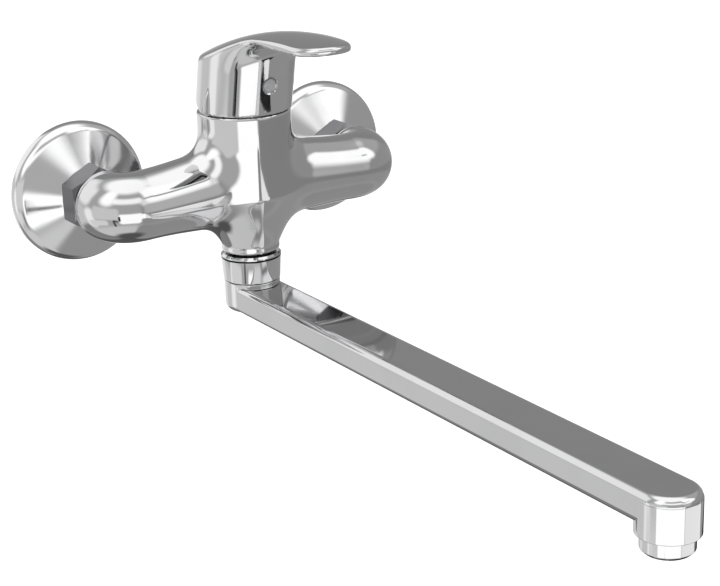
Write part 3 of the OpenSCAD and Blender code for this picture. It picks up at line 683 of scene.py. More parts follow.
@dataclass(frozen=True)
class Card:
    """A plain grey card near the mixer, that only mirrored rays see.

    Its place and sizes are in metres, and level 1.6 shows as white in the plate. It is seen from
    one side only: it faces back along its azimuth, and leans towards that side.
    """

    name: str
    place: tuple[float, float, float]
    width: float
    height: float
    azimuth: float
    level: float
    lean: float = 0.0

    def hang(self) -> None:
        """Hang the card in the studio."""
        Bench.clear()
        bpy.ops.mesh.primitive_plane_add(size=1.0)
        card = Bench.named(self.name)
        upright = Matrix.Rotation(math.radians(90 - self.lean), 4, "X")
        turn = Matrix.Rotation(math.radians(self.azimuth), 4, "Z")
        size = Matrix.Diagonal((self.width, self.height, 1.0, 1.0))
        Bench.place(card, Matrix.Translation(Vector(self.place)) @ turn @ upright @ size)
        material = bpy.data.materials.new(self.name)
        graph = Graph(material)
        grey = (self.level, self.level, self.level, 1.0)
        glow = graph.add("ShaderNodeEmission", {}, {"Color": grey, "Strength": 1.0}).outputs[0]
        clear = graph.add("ShaderNodeBsdfTransparent", {}, {}).outputs[0]
        facing_mixer = graph.add("ShaderNodeNewGeometry", {}, {}).outputs["Backfacing"]
        both = graph.add("ShaderNodeMixShader", {}, {0: facing_mixer, 1: clear, 2: glow}).outputs[0]
        graph.add("ShaderNodeOutputMaterial", {}, {"Surface": both})
        card.data.materials.append(material)
        card.visible_camera = False
        card.visible_diffuse = False
        card.visible_shadow = False


@dataclass
class Studio:
    """The white room, its soft boxes, screens and cards, the pale floor and the camera.

    The backdrop is the part of the room that stays white in the mixer's mirror too.
    """

    room: float = 0.55
    floor_z: float = -0.45
    floor_size: float = 9.0
    floor_glow: float = 0.35
    floor_colour: tuple[float, float, float, float] = (0.86, 0.86, 0.86, 1.0)
    camera_at: tuple[float, float, float] = (-0.4479, -0.8601, 0.2394)
    azimuth: float = -32.5
    elevation: float = 18.62
    roll: float = -1.8
    lens: float = 90.55
    backdrop: tuple[Screen, ...] = (
        Screen(-215, -160, -31, -2, 1.0, 4),
        Screen(140, 215, -26, -6, 1.0, 4),
    )
    screens: tuple[Screen, ...] = (
        Screen(-150, 0, -110, -44, 0.8, 7),
        Screen(0, 150, -110, -44, 0.38, 7),
        Screen(138, 215, -110, -29, 0.12, 4),
        Screen(-215, -132, -110, -30, 0.3, 5),
        Screen(-215, 215, -110, -74, 0.12, 6),
        Screen(-162, -129, -32, 0, 0.8, 4),
        Screen(-129, -104, -42, 2, 1.25, 6),
        Screen(-106, -46, -23, 12, 0.85, 4),
        Screen(2, 132, -44, 26, 0.4, 6),
        Screen(6, 128, -21, -9, 0.32, 4),
        Screen(112, 215, 0, 48, 0.33, 7),
        Screen(-178, -118, 4, 48, 1.2, 7),
        Screen(-62, 10, 26, 43, 1.45, 5),
        Screen(-95, -58, 18, 72, 1.6, 9),
        Screen(4, 42, 12, 36, 1.1, 6),
        Screen(8, 34, -9, 18, 0.64, 4),
        Screen(18, 64, 21, 66, 1.6, 6),
        Screen(-215, 215, 60, 110, 1.5, 8),
        Screen(14, 42, 34, 38, 0.4, 2),
        Screen(-46, 3, -38, -6, 1.6, 3),
        Screen(-62, -56, -46, -25, 0.12, 1.5),
        Screen(-122, -74, -40, -25, 0.95, 3),
    )
    cards: tuple[Card, ...] = (
        Card("right_flag", (0.13, -0.402, -0.195), 0.185, 0.26, 21.0, 0.02, -119.0),
        Card("left_rod", (-0.245, -0.225, -0.1), 0.02, 0.075, -57.0, 0.03),
        Card("rose_flag", (-0.156, -0.114, -0.0588), 0.026, 0.011, 0.0, 0.1),
        Card("outlet_card", (-0.08, -0.52, -0.15), 0.21, 0.13, 0.0, 1.6),
        Card("outlet_left_card", (-0.152, -0.469, -0.14), 0.168, 0.11, -122.0, 1.6),
        Card("outlet_side_card", (0.098, -0.474, -0.17), 0.19, 0.11, 48.0, 1.2),
    )

    def light(self) -> None:
        """Build the world: white where the camera looks past the object, soft boxes elsewhere."""
        world = bpy.data.worlds.new("studio")
        bpy.context.scene.world = world
        graph = Graph(world)
        where = graph.add("ShaderNodeTexCoord", {}, {}).outputs["Generated"]
        parts = graph.add("ShaderNodeSeparateXYZ", {}, {0: where}).outputs
        x, y, z = (Value(graph, part) for part in parts)
        degree = 180.0 / math.pi
        azimuth = x.arctan2(0.0 - y) * degree
        height = z.arcsine() * degree
        level: Value | float = self.room
        for screen in self.screens:
            level = screen.over(level, azimuth, height)
        grey = graph.add("ShaderNodeCombineColor", {}, {0: level, 1: level, 2: level}).outputs[0]
        inside = graph.add("ShaderNodeBackground", {}, {"Color": grey, "Strength": 1.0}).outputs[0]
        white = graph.add("ShaderNodeBackground", {}, {"Color": WHITE, "Strength": 1.0}).outputs[0]
        path = graph.add("ShaderNodeLightPath", {}, {}).outputs
        seen = Value(graph, path["Is Camera Ray"])
        mirrored = Value(graph, path["Is Glossy Ray"]) + Value(graph, path["Is Transmission Ray"])
        behind = sum(screen.mask(azimuth, height) for screen in self.backdrop)
        shown = seen + (1.0 - seen) * mirrored * behind
        both = graph.add("ShaderNodeMixShader", {}, {0: shown, 1: inside, 2: white}).outputs[0]
        graph.add("ShaderNodeOutputWorld", {}, {"Surface": both})

    def lay_floor(self) -> None:
        """Lay the pale floor that keeps the object's shadow and fades into the white room."""
        Bench.clear()
        bpy.ops.mesh.primitive_plane_add(size=self.floor_size, location=(0, 0, self.floor_z))
        floor = Bench.named("studio_floor")
        material = bpy.data.materials.new("pale_floor")
        graph = Graph(material)
        paint = graph.add("ShaderNodeBsdfDiffuse", {}, {"Color": self.floor_colour}).outputs[0]
        glow = graph.add("ShaderNodeEmission", {}, {"Color": WHITE, "Strength": self.floor_glow})
        lifted = graph.add("ShaderNodeAddShader", {}, {0: paint, 1: glow.outputs[0]}).outputs[0]
        seen = graph.add("ShaderNodeLightPath", {}, {}).outputs["Is Camera Ray"]
        both = graph.add("ShaderNodeMixShader", {}, {0: seen, 1: paint, 2: lifted}).outputs[0]
        graph.add("ShaderNodeOutputMaterial", {}, {"Surface": both})
        floor.data.materials.append(material)
        floor.visible_glossy = False

    def aim(self) -> None:
        """Set the camera at the photograph's angle."""
        azimuth, elevation, roll = (math.radians(a) for a in (self.azimuth, self.elevation, self.roll))
        back = Vector((
            math.sin(azimuth) * math.cos(elevation),
            -math.cos(azimuth) * math.cos(elevation),
            math.sin(elevation),
        ))
        right = (-back).cross(Vector((0, 0, 1))).normalized()
        up = right.cross(-back)
        turned_right = math.cos(roll) * right + math.sin(roll) * up
        turned_up = math.cos(roll) * up - math.sin(roll) * right
        lens = bpy.data.cameras.new("view")
        lens.lens = self.lens
        lens.sensor_width = 36.0
        lens.sensor_fit = "HORIZONTAL"
        camera = bpy.data.objects.new("view", lens)
        bpy.context.collection.objects.link(camera)
        turn = Matrix((turned_right, turned_up, back)).transposed().to_4x4()
        camera.matrix_world = Matrix.Translation(Vector(self.camera_at)) @ turn
        bpy.context.scene.camera = camera


def finish_piece(piece: bpy.types.Object, finish: Finish, body: str, *nodes: str) -> None:
    """Dress a piece, tie it to its body and say which nodes it stands for.

    Args:
        piece: The finished piece.
        finish: Its finish.
        body: The CAD body that it rides on.
        *nodes: The CAD nodes that it stands for; they are hidden.
    """
    piece.data.materials.clear()
    piece.data.materials.append(finish.material())
    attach(piece, body)
    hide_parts(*nodes)
    LOG.info("%s: %d faces, for %s", piece.name, len(piece.data.polygons), ", ".join(nodes))


@dataclass
class Body:
    """The cast body: a barrel with two arms that flow out of it and bend back to the wall."""

    barrel_r: float = 24.6
    barrel_top: float = 41.5
    taper_top: float = -3.0
    taper_end: float = -30.5
    neck_r: float = 15.5
    neck_end: float = -34.2
    taper_ease: float = 0.8
    taper_curve: float = 0.5
    arm_r: float = 18.0
    arm_flare: float = 4.0
    arm_rise: float = 3.0
    flare_reach: float = 62.0
    bend_x: float = 65.0
    bend_r: float = 10.0
    bend_fillet: float = 2.5
    inlet_end: float = 16.3
    inlet_taper: float = 3.0
    inlet_end_r: float = 15.5
    inlet_edge: float = 0.8
    fillet: float = 12.0
    least_fillet: float = 0.5
    edge: float = 1.2
    spigot_r: float = 13.22
    spigot_end: float = -45.5
    chamber_r: float = 20.3
    chamber_floor: float = 12.5
    stub_bore_r: float = 9.08
    stub_bore_top: float = -18.8
    overcut: float = 2.0
    voxel: float = 0.8

    def barrel_radius(self, z: Points) -> Points:
        """Work out the barrel's radius, eased at both ends of its taper.

        Args:
            z: Heights in the body's frame.

        Returns:
            The radius at each height.
        """
        total = np.zeros_like(z)
        samples = 7
        shifts = np.linspace(-self.taper_ease, self.taper_ease, samples)
        for shift in shifts:
            t = np.clip((self.taper_top - (z + shift)) / (self.taper_top - self.taper_end), 0.0, 1.0)
            total += self.barrel_r + (self.neck_r - self.barrel_r) * t
            total -= self.taper_curve * np.sin(math.tau * t)
        return total / len(shifts)

    def arm(self, p: Points) -> Points:
        """Measure to the arm on the side of p, with its bend and its end at the wall.

        Args:
            p: Points of the body's frame.

        Returns:
            The distance at each point.
        """
        x, y, z = np.abs(p[:, 0]), p[:, 1], p[:, 2]
        share = np.clip(x / self.flare_reach, 0.0, 1.0)
        radius = self.arm_r + self.arm_flare * (1.0 + np.cos(math.pi * share)) / 2.0
        along = np.hypot(y * radius / self.arm_r, z - self.arm_rise * (1.0 - share)) - radius
        narrowing = np.clip((y - (self.inlet_end - self.inlet_taper)) / self.inlet_taper, 0.0, 1.0)
        inlet_x = self.bend_x + self.bend_r
        inlet = np.hypot(x - inlet_x, z) - (self.arm_r + (self.inlet_end_r - self.arm_r) * narrowing)
        round_corner = np.abs(np.hypot(x - self.bend_x, y - self.bend_r) - self.bend_r)
        bend = np.hypot(round_corner, z) - self.arm_r
        beyond = np.where(y > self.bend_r, inlet, bend)
        inner = np.where(y > self.bend_r, blend_min(along, inlet, self.bend_fillet), along)
        tube = np.where(x > self.bend_x, beyond, inner)
        return blend_max(tube, y - self.inlet_end, self.inlet_edge)

    def form(self, p: Points) -> Points:
        """Measure to the body's outside.

        Args:
            p: Points of the body's frame.

        Returns:
            The distance at each point.
        """
        x, y, z = p.T
        around = np.hypot(x, y)
        barrel = around - self.barrel_radius(z)
        share = np.clip(np.abs(x) / self.flare_reach, 0.0, 1.0)
        height = z - self.arm_rise * (1.0 - share)
        along = y * y / np.maximum(around * np.hypot(y, height), TINY)
        corner = np.sqrt(np.clip(1.0 - along**2, 0.0, 1.0))
        side = blend_min(barrel, self.arm(p), self.least_fillet + self.fillet * corner)
        whole = blend_max(side, z - self.barrel_top, self.edge)
        whole = blend_max(whole, self.neck_end - z, self.edge)
        spigot = np.maximum(around - self.spigot_r, np.maximum(self.spigot_end - z, z - self.neck_end))
        return np.minimum(whole, spigot)

    def at(self, x: float, y: float, z: float) -> Vector:
        """A point of the body's frame in metres."""
        return BARREL_AT + Vector((x, y, z)) * MM

    def taper(self, steps: int = 24) -> bpy.types.Object:
        """Turn the barrel's narrowing foot.

        Args:
            steps: Number of rings along it.

        Returns:
            The foot.
        """
        heights = np.linspace(self.neck_end, 0.0, steps)
        skin = [(float(r), float(z)) for r, z in zip(self.barrel_radius(heights), heights)]
        outline: Outline = [(0.0, self.neck_end), *skin, (0.0, 0.0)]
        return Bench.turned("taper", outline, Matrix.Translation(BARREL_AT))

    def horn(self, side: int, steps: int = 12) -> bpy.types.Object:
        """Turn the wide root of one arm, which narrows outwards.

        Args:
            side: 1 for the right arm and -1 for the left one.
            steps: Number of rings along it.

        Returns:
            The root.
        """
        skin: Outline = []
        for step in range(steps + 1):
            flare = self.arm_flare * (1 + math.cos(math.pi * step / steps)) / 2
            skin.append((self.arm_r + flare, self.flare_reach * step / steps))
        where = facing(self.at(0, 0, self.arm_rise), Vector((side * self.flare_reach, 0, -self.arm_rise)))
        return Bench.turned("horn", [(0.0, 0.0), *skin, (0.0, self.flare_reach)], where)

    def elbow(self, side: int) -> list[bpy.types.Object]:
        """Make the end of one arm at the wall, and its bend as a row of balls.

        Args:
            side: 1 for the right arm and -1 for the left one.

        Returns:
            The rod and the balls.
        """
        inlet_x = side * (self.bend_x + self.bend_r)
        start, end = self.at(inlet_x, self.bend_r, 0), self.at(inlet_x, self.inlet_end, 0)
        parts = [Bench.rod("inlet", self.arm_r * MM, start, end)]
        for step in range(0, 91, 15):
            turn = math.radians(step)
            x = side * (self.bend_x + self.bend_r * math.sin(turn))
            y = self.bend_r * (1 - math.cos(turn))
            parts.append(Bench.ball("bend", self.arm_r * MM, self.at(x, y, 0)))
        return parts

    def shaft(self, name: str, radius: float, low: float, high: float) -> bpy.types.Object:
        """A round bar on the barrel's axis, in millimetres."""
        return Bench.rod(name, radius * MM, self.at(0, 0, low), self.at(0, 0, high))

    def build(self) -> None:
        """Cast the body, bore its chamber and the seat of the spout, and polish it."""
        parts = [
            self.shaft("barrel", self.barrel_r, self.taper_top, self.barrel_top),
            Bench.rod("arms", self.arm_r * MM, self.at(-self.bend_x, 0, 0), self.at(self.bend_x, 0, 0)),
            self.shaft("spigot", self.spigot_r, self.spigot_end, self.taper_top),
            self.taper(),
            self.horn(1),
            self.horn(-1),
            *self.elbow(-1),
            *self.elbow(1),
        ]
        piece = Bench.gather("body_shell", parts)
        Bench.modify(piece, "REMESH", mode="VOXEL", voxel_size=self.voxel * MM)
        Bench.settle(piece, self.form, BARREL_AT)
        Bench.relax(piece)
        Bench.settle(piece, self.form, BARREL_AT)
        chamber = self.shaft("chamber", self.chamber_r, self.chamber_floor, self.barrel_top + self.overcut)
        Bench.combine(piece, chamber, Cut.REMOVE)
        seat = self.shaft("seat", self.stub_bore_r, self.spigot_end - self.overcut, self.stub_bore_top)
        Bench.combine(piece, seat, Cut.REMOVE)
        Bench.smooth(piece)
        finish_piece(piece, BODY_CHROME, "mixer", "body")


@dataclass
class Handle:
    """The lever handle: a leaning skirt whose top runs out into an arched, crowned blade."""

    skirt_r: float = 25.0
    blank_low: float = -20.0
    blank_high: float = 60.0
    cavity_r: float = 22.6
    well_h: float = 40.0
    hub_r: float = 8.0
    hub_rise: float = 8.0
    hub_top: float = 24.5
    hub_sink: float = 1.0
    gap: float = 0.8
    foot_edge: float = 0.5
    back_slope: float = 26.0
    crest_reach: float = 67.0
    crest_rise: float = 47.4
    arch_r: float = 212.0
    crown_r: float = 50.0
    root_start: float = 5.0
    reach: float = 94.0
    round_l: float = 19.0
    half_w: float = 15.7
    root_narrow: float = 2.2
    under_shift: float = 2.46
    under_drop: float = 4.51
    top_round: float = 2.2
    under_round: float = 2.6
    side_round: float = 8.0
    side_round_end: float = 60.0
    side_round_l: float = 28.0
    joint_fillet: float = 9.0
    plug_rise: float = 22.5
    plug_r: float = 3.5
    plug_gap: float = 0.06
    plug_h: float = 1.3
    crown_start: float = 1.4
    crown_h: float = 1.0
    crown_turns: tuple[float, float] = (0.1, 1.5)
    recess_r: float = 4.3
    recess_depth: float = 1.2
    recess_under: float = 0.2
    recess_round: float = 0.3
    recess_lip: float = 0.5
    recess_flare: float = 1.2
    recess_clear: float = 0.7
    voxel: float = 0.7

    def arch(self, p: Points, shift: float = 0.0, drop: float = 0.0) -> Points:
        """Measure to the arched and crowned solid that gives the handle its top.

        Args:
            p: Points of the pivot's frame.
            shift: How far the solid is moved forward.
            drop: How far it is moved down.

        Returns:
            The distance at each point.
        """
        y = p[:, 1] + self.crest_reach + shift
        z = p[:, 2] - (self.crest_rise - self.arch_r) + drop
        return np.hypot(np.hypot(y, z) - (self.arch_r - self.crown_r), p[:, 0]) - self.crown_r

    def plan(self, p: Points) -> Points:
        """Measure to the blade's outline seen from above.

        Args:
            p: Points of the pivot's frame.

        Returns:
            The distance at each point.
        """
        x, u = np.abs(p[:, 0]), -p[:, 1]
        start = self.reach - self.round_l
        straight = x - (self.half_w - self.root_narrow * np.clip((start - u) / start, 0.0, 1.0) ** 2)
        root = self.root_start - u
        ex, eu = x / self.half_w, np.maximum(u - start, 0.0) / self.round_l
        k0 = np.hypot(ex, eu)
        k1 = np.maximum(np.hypot(ex / self.half_w, eu / self.round_l), TINY)
        return np.maximum(np.where(u > start, k0 * (k0 - 1.0) / k1, straight), root)

    def form(self, p: Points) -> Points:
        """Measure to the handle's skin, inside and out.

        Args:
            p: Points of the pivot's frame.

        Returns:
            The distance at each point.
        """
        up = -p[:, 1] * math.sin(LEAN) + p[:, 2] * math.cos(LEAN)
        over = p[:, 1] * math.cos(LEAN) + p[:, 2] * math.sin(LEAN)
        radial = np.hypot(p[:, 0], over)
        near = np.clip((self.side_round_end + p[:, 1]) / self.side_round_l, 0.0, 1.0)
        under = self.under_round + (self.side_round - self.under_round) * near
        blade = blend_max(self.plan(p), -self.arch(p, self.under_shift, self.under_drop), under)
        outline = blend_min(radial - self.skirt_r, blade, self.joint_fillet)
        outside = blend_max(outline, self.arch(p), self.top_round)
        slope = math.radians(self.back_slope)
        front = self.gap - p[:, 2]
        back = (self.gap + p[:, 1] * math.tan(slope) - p[:, 2]) * math.cos(slope)
        outside = blend_max(outside, np.maximum(front, back), self.foot_edge)
        reach = np.where(up > 0, np.sqrt((p**2).sum(axis=1)), radial)
        hollow = np.maximum(outside, self.cavity_r - reach)
        rod = np.maximum(radial - self.hub_r, self.hub_rise - up)
        hub = np.maximum(rod, reach - self.cavity_r - self.hub_sink)
        return np.minimum(hollow, hub)

    def at(self, x: float, y: float, z: float) -> Vector:
        """A point of the pivot's frame in metres."""
        return PIVOT_AT + Vector((x, y, z)) * MM

    def arch_solid(self, shift: float, drop: float) -> bpy.types.Object:
        """Make the arched and crowned solid as a mesh.

        Args:
            shift: How far it is moved forward.
            drop: How far it is moved down.

        Returns:
            The solid.
        """
        Bench.clear()
        bpy.ops.mesh.primitive_torus_add(
            major_segments=256,
            minor_segments=96,
            major_radius=(self.arch_r - self.crown_r) * MM,
            minor_radius=self.crown_r * MM,
        )
        piece = Bench.named("arch")
        centre = self.at(0, -self.crest_reach - shift, self.crest_rise - self.arch_r - drop)
        Bench.place(piece, facing(centre, Vector((1, 0, 0))))
        return piece

    def blade(self, root: float = 10.0, low: float = 20.0, thick: float = 30.0) -> bpy.types.Object:
        """The blade, cut from a plate with the outline of its plan.

        Args:
            root: Start of the plate, in front of the pivot.
            low: Height of the plate's underside over the pivot.
            thick: Thickness of the plate before it is cut.

        Returns:
            The blade, still flat on top.
        """
        start = self.reach - self.round_l
        steps = 24
        crowding = 1.8
        shares = [1 - (1 - step / steps) ** crowding for step in range(steps + 1)]
        stations = [root + (self.reach - root) * share for share in shares]
        half: Outline = []
        for u in stations:
            t = max(0.0, (u - start) / self.round_l)
            s = max(0.0, (start - u) / start)
            half.append(((self.half_w - self.root_narrow * s * s) * math.sqrt(max(0.0, 1 - t * t)), -u))
        ring = half + [(-x, y) for x, y in reversed(half[:-1])]
        Bench.clear()
        bpy.ops.mesh.primitive_circle_add(vertices=len(ring), radius=1.0, fill_type="NGON")
        piece = Bench.named("blade")
        for vertex, (x, y) in zip(piece.data.vertices, ring):
            vertex.co = self.at(x, y, low)
        bpy.ops.object.mode_set(mode="EDIT")
        bpy.ops.mesh.select_all(action="SELECT")
        bpy.ops.mesh.extrude_region_move(TRANSFORM_OT_translate={"value": (0, 0, thick * MM)})
        bpy.ops.mesh.select_all(action="SELECT")
        bpy.ops.mesh.normals_make_consistent(inside=False)
        bpy.ops.object.mode_set(mode="OBJECT")
        Bench.combine(piece, self.arch_solid(self.under_shift, self.under_drop), Cut.REMOVE)
        return piece

    def rough(self, axis: Vector, block: float = 0.2) -> bpy.types.Object:
        """The handle as a rough solid: skirt, blade, foot, hollow and hub.

        Args:
            axis: Direction of the skirt's axis.
            block: Side of the two blocks that cut the foot, in metres.

        Returns:
            The rough solid.
        """
        low, high = (PIVOT_AT + axis * rise * MM for rise in (self.blank_low, self.blank_high))
        piece = Bench.rod("handle_shell", self.skirt_r * MM, low, high)
        Bench.combine(piece, self.blade(), Cut.JOIN)
        Bench.combine(piece, self.arch_solid(0.0, 0.0), Cut.KEEP)
        foot = Matrix.Translation(self.at(0, 0, self.gap))
        below = Matrix.Translation((0, 0, -block / 2))
        tilt = Matrix.Rotation(math.radians(self.back_slope), 4, "X")
        for where in (foot @ below, foot @ tilt @ below):
            Bench.combine(piece, Bench.box("foot_cut", (block,) * 3, where), Cut.REMOVE)
        Bench.combine(piece, Bench.ball("cavity", self.cavity_r * MM, PIVOT_AT), Cut.REMOVE)
        well = Bench.rod("well", self.cavity_r * MM, PIVOT_AT - axis * self.well_h * MM, PIVOT_AT)
        Bench.combine(piece, well, Cut.REMOVE)
        hub_foot, hub_top = (PIVOT_AT + axis * rise * MM for rise in (self.hub_rise, self.hub_top))
        Bench.combine(piece, Bench.rod("hub", self.hub_r * MM, hub_foot, hub_top), Cut.JOIN)
        return piece

    def recess(self) -> Outline:
        """Outline of the tool that bores the plug's hole and sinks its recess."""
        start = self.cavity_r - self.recess_under
        hole_r = self.plug_r + self.plug_gap
        floor = self.skirt_r - self.recess_depth
        over = self.skirt_r + self.recess_clear
        corner = self.recess_round
        outline: Outline = [(0, start), (hole_r, start), (hole_r, floor)]
        outline += arc((self.recess_r - corner, floor + corner), corner, -90, 0)
        outline += [(self.recess_r, self.skirt_r - self.recess_lip)]
        return outline + [(self.recess_r + self.recess_flare, over), (0, over)]

    def plug(self) -> Outline:
        """Outline of the index plug, with its crowned face."""
        start = self.cavity_r
        crown = start + self.crown_start
        outline: Outline = [(0, start), (self.plug_r, start), (self.plug_r, start + self.plug_h)]
        for turn in np.linspace(*self.crown_turns, 10):
            outline.append((self.plug_r * math.cos(turn), crown + self.crown_h * math.sin(turn)))
        return outline + [(0, crown + self.crown_h)]

    def build(self) -> None:
        """Form the handle, round its edges, sink the plug's recess and set the plug in it."""
        axis = Vector((0, -math.sin(LEAN), math.cos(LEAN)))
        forward = Vector((0, -math.cos(LEAN), -math.sin(LEAN)))
        piece = self.rough(axis)
        Bench.modify(piece, "REMESH", mode="VOXEL", voxel_size=self.voxel * MM)
        Bench.settle(piece, self.form, PIVOT_AT)
        Bench.relax(piece, 2)
        Bench.settle(piece, self.form, PIVOT_AT)
        seat = facing(PIVOT_AT + axis * self.plug_rise * MM, forward)
        Bench.combine(piece, Bench.turned("recess_tool", self.recess(), seat), Cut.REMOVE)
        Bench.smooth(piece)
        finish_piece(piece, CHROME, "lever", "handle")
        plug = Bench.turned("plug", self.plug(), seat, 48)
        Bench.smooth(plug)
        finish_piece(plug, PLUG_PLASTIC, "lever", "index_plug")


@dataclass
class Inlets:
    """The union nuts and the escutcheons at the two inlets."""

    pitch: float = 150.0
    drop: float = 10.0
    nut_af: float = 32.0
    nut_start: float = 17.5
    nut_end: float = 31.7
    nut_chamfer: float = 0.6
    nut_slope: float = 0.62
    nut_clear: float = 0.3
    face_inset: float = 0.2
    nut_edge: float = 0.35
    lip: float = 3.2
    thread_r: float = 13.27
    nipple_r: float = 10.55
    rose_r: float = 37.2
    rose_h: float = 17.0
    rose_slope: float = 26.0
    rose_round: float = 7.0
    neck_r: float = 15.5
    neck_back: float = 5.3
    wall: float = 1.5
    edge: float = 0.3

    def axis(self, side: int) -> Matrix:
        """The frame of one inlet, whose +Z points out of the wall."""
        return facing(Vector((side * self.pitch / 2, 0, -self.drop)) * MM, Vector((0, -1, 0)))

    def nut(self, side: int) -> bpy.types.Object:
        """Cut one union nut from a bar of hexagon, chamfer it and bore it.

        Args:
            side: 1 for the right inlet and -1 for the left one.

        Returns:
            The nut.
        """
        corner = self.nut_af / 2 / math.cos(math.radians(30))
        depth = self.nut_end - self.nut_start
        Bench.clear()
        bpy.ops.mesh.primitive_cylinder_add(vertices=6, radius=corner * MM, depth=depth * MM)
        piece = Bench.named("union_nut")
        lift = Matrix.Translation((0, 0, (self.nut_start + self.nut_end) / 2 * MM))
        Bench.place(piece, self.axis(side) @ lift)
        flats = self.nut_af / 2
        wide = corner + self.nut_clear
        front = self.nut_end - (corner - flats) * self.nut_slope
        blank: Outline = [(0, self.nut_start), (corner - self.nut_chamfer, self.nut_start)]
        blank += [(wide, self.nut_start + self.nut_chamfer), (wide, front)]
        blank += [(flats - self.face_inset, self.nut_end), (0, self.nut_end)]
        Bench.combine(piece, Bench.turned("blank", blank, self.axis(side)), Cut.KEEP)
        step = self.nut_end - self.lip
        low, high = self.nut_start - 1, self.nut_end + 1
        bore: Outline = [(0, low), (self.thread_r, low), (self.thread_r, step)]
        bore += [(self.nipple_r, step), (self.nipple_r, high), (0, high)]
        Bench.combine(piece, Bench.turned("bore", bore, self.axis(side)), Cut.REMOVE)
        limit = math.radians(25)
        width = self.nut_edge * MM
        Bench.modify(piece, "BEVEL", width=width, segments=3, limit_method="ANGLE", angle_limit=limit)
        return piece

    def rose_height(self, r: float, sink: float) -> float:
        """Work out the height of the escutcheon's face, a cone with a round rim.

        Args:
            r: Distance from the inlet's axis.
            sink: How far the shell lies under the face.

        Returns:
            The height.
        """
        slope = math.radians(self.rose_slope)
        round_r = self.rose_round - sink
        middle = self.rose_r - self.rose_round
        start = middle + round_r * math.sin(slope)
        height = self.rose_h - sink - (min(r, start) - self.neck_r) * math.tan(slope)
        if r > start:
            height += math.sqrt(max(0.0, round_r**2 - (r - middle) ** 2)) - round_r * math.cos(slope)
        return height

    def rose(self, side: int) -> bpy.types.Object:
        """Spin one escutcheon from sheet, with its threaded neck.

        Args:
            side: 1 for the right inlet and -1 for the left one.

        Returns:
            The escutcheon.
        """
        outside: Outline = []
        inside: Outline = []
        steps = 40
        for i in range(steps + 1):
            for sink, line in ((0.0, outside), (self.wall, inside)):
                r = self.neck_r + (self.rose_r - sink - self.neck_r) * math.sin(math.pi / 2 * i / steps)
                line.append((r, self.rose_height(r, sink)))
        start = (self.thread_r, self.rose_h - self.edge)
        outline: Outline = [start, (self.thread_r + self.edge, self.rose_h), *outside]
        outline += [(self.rose_r, self.edge), (self.rose_r - self.edge, 0.0)]
        outline += [(self.rose_r - self.wall, 0.0)]
        outline += reversed(inside)
        outline += [(self.neck_r, self.neck_back), (self.thread_r, self.neck_back), start]
        return Bench.turned("escutcheon", outline, self.axis(side), 128)

    def build(self) -> None:
        """Make both nuts and both escutcheons."""
        for side, word in ((-1, "left"), (1, "right")):
            nut = self.nut(side)
            nut.name = f"union_nut_{word}_shell"
            Bench.smooth(nut, CRISP_ANGLE)
            finish_piece(nut, PAINTED_DARK_NUT_CHROME, "mixer", f"union_nut_{word}")
            rose = self.rose(side)
            rose.name = f"escutcheon_{word}_shell"
            Bench.smooth(rose)
            finish_piece(rose, LIGHTENED_SHEET_CHROME, "mixer", f"escutcheon_{word}")


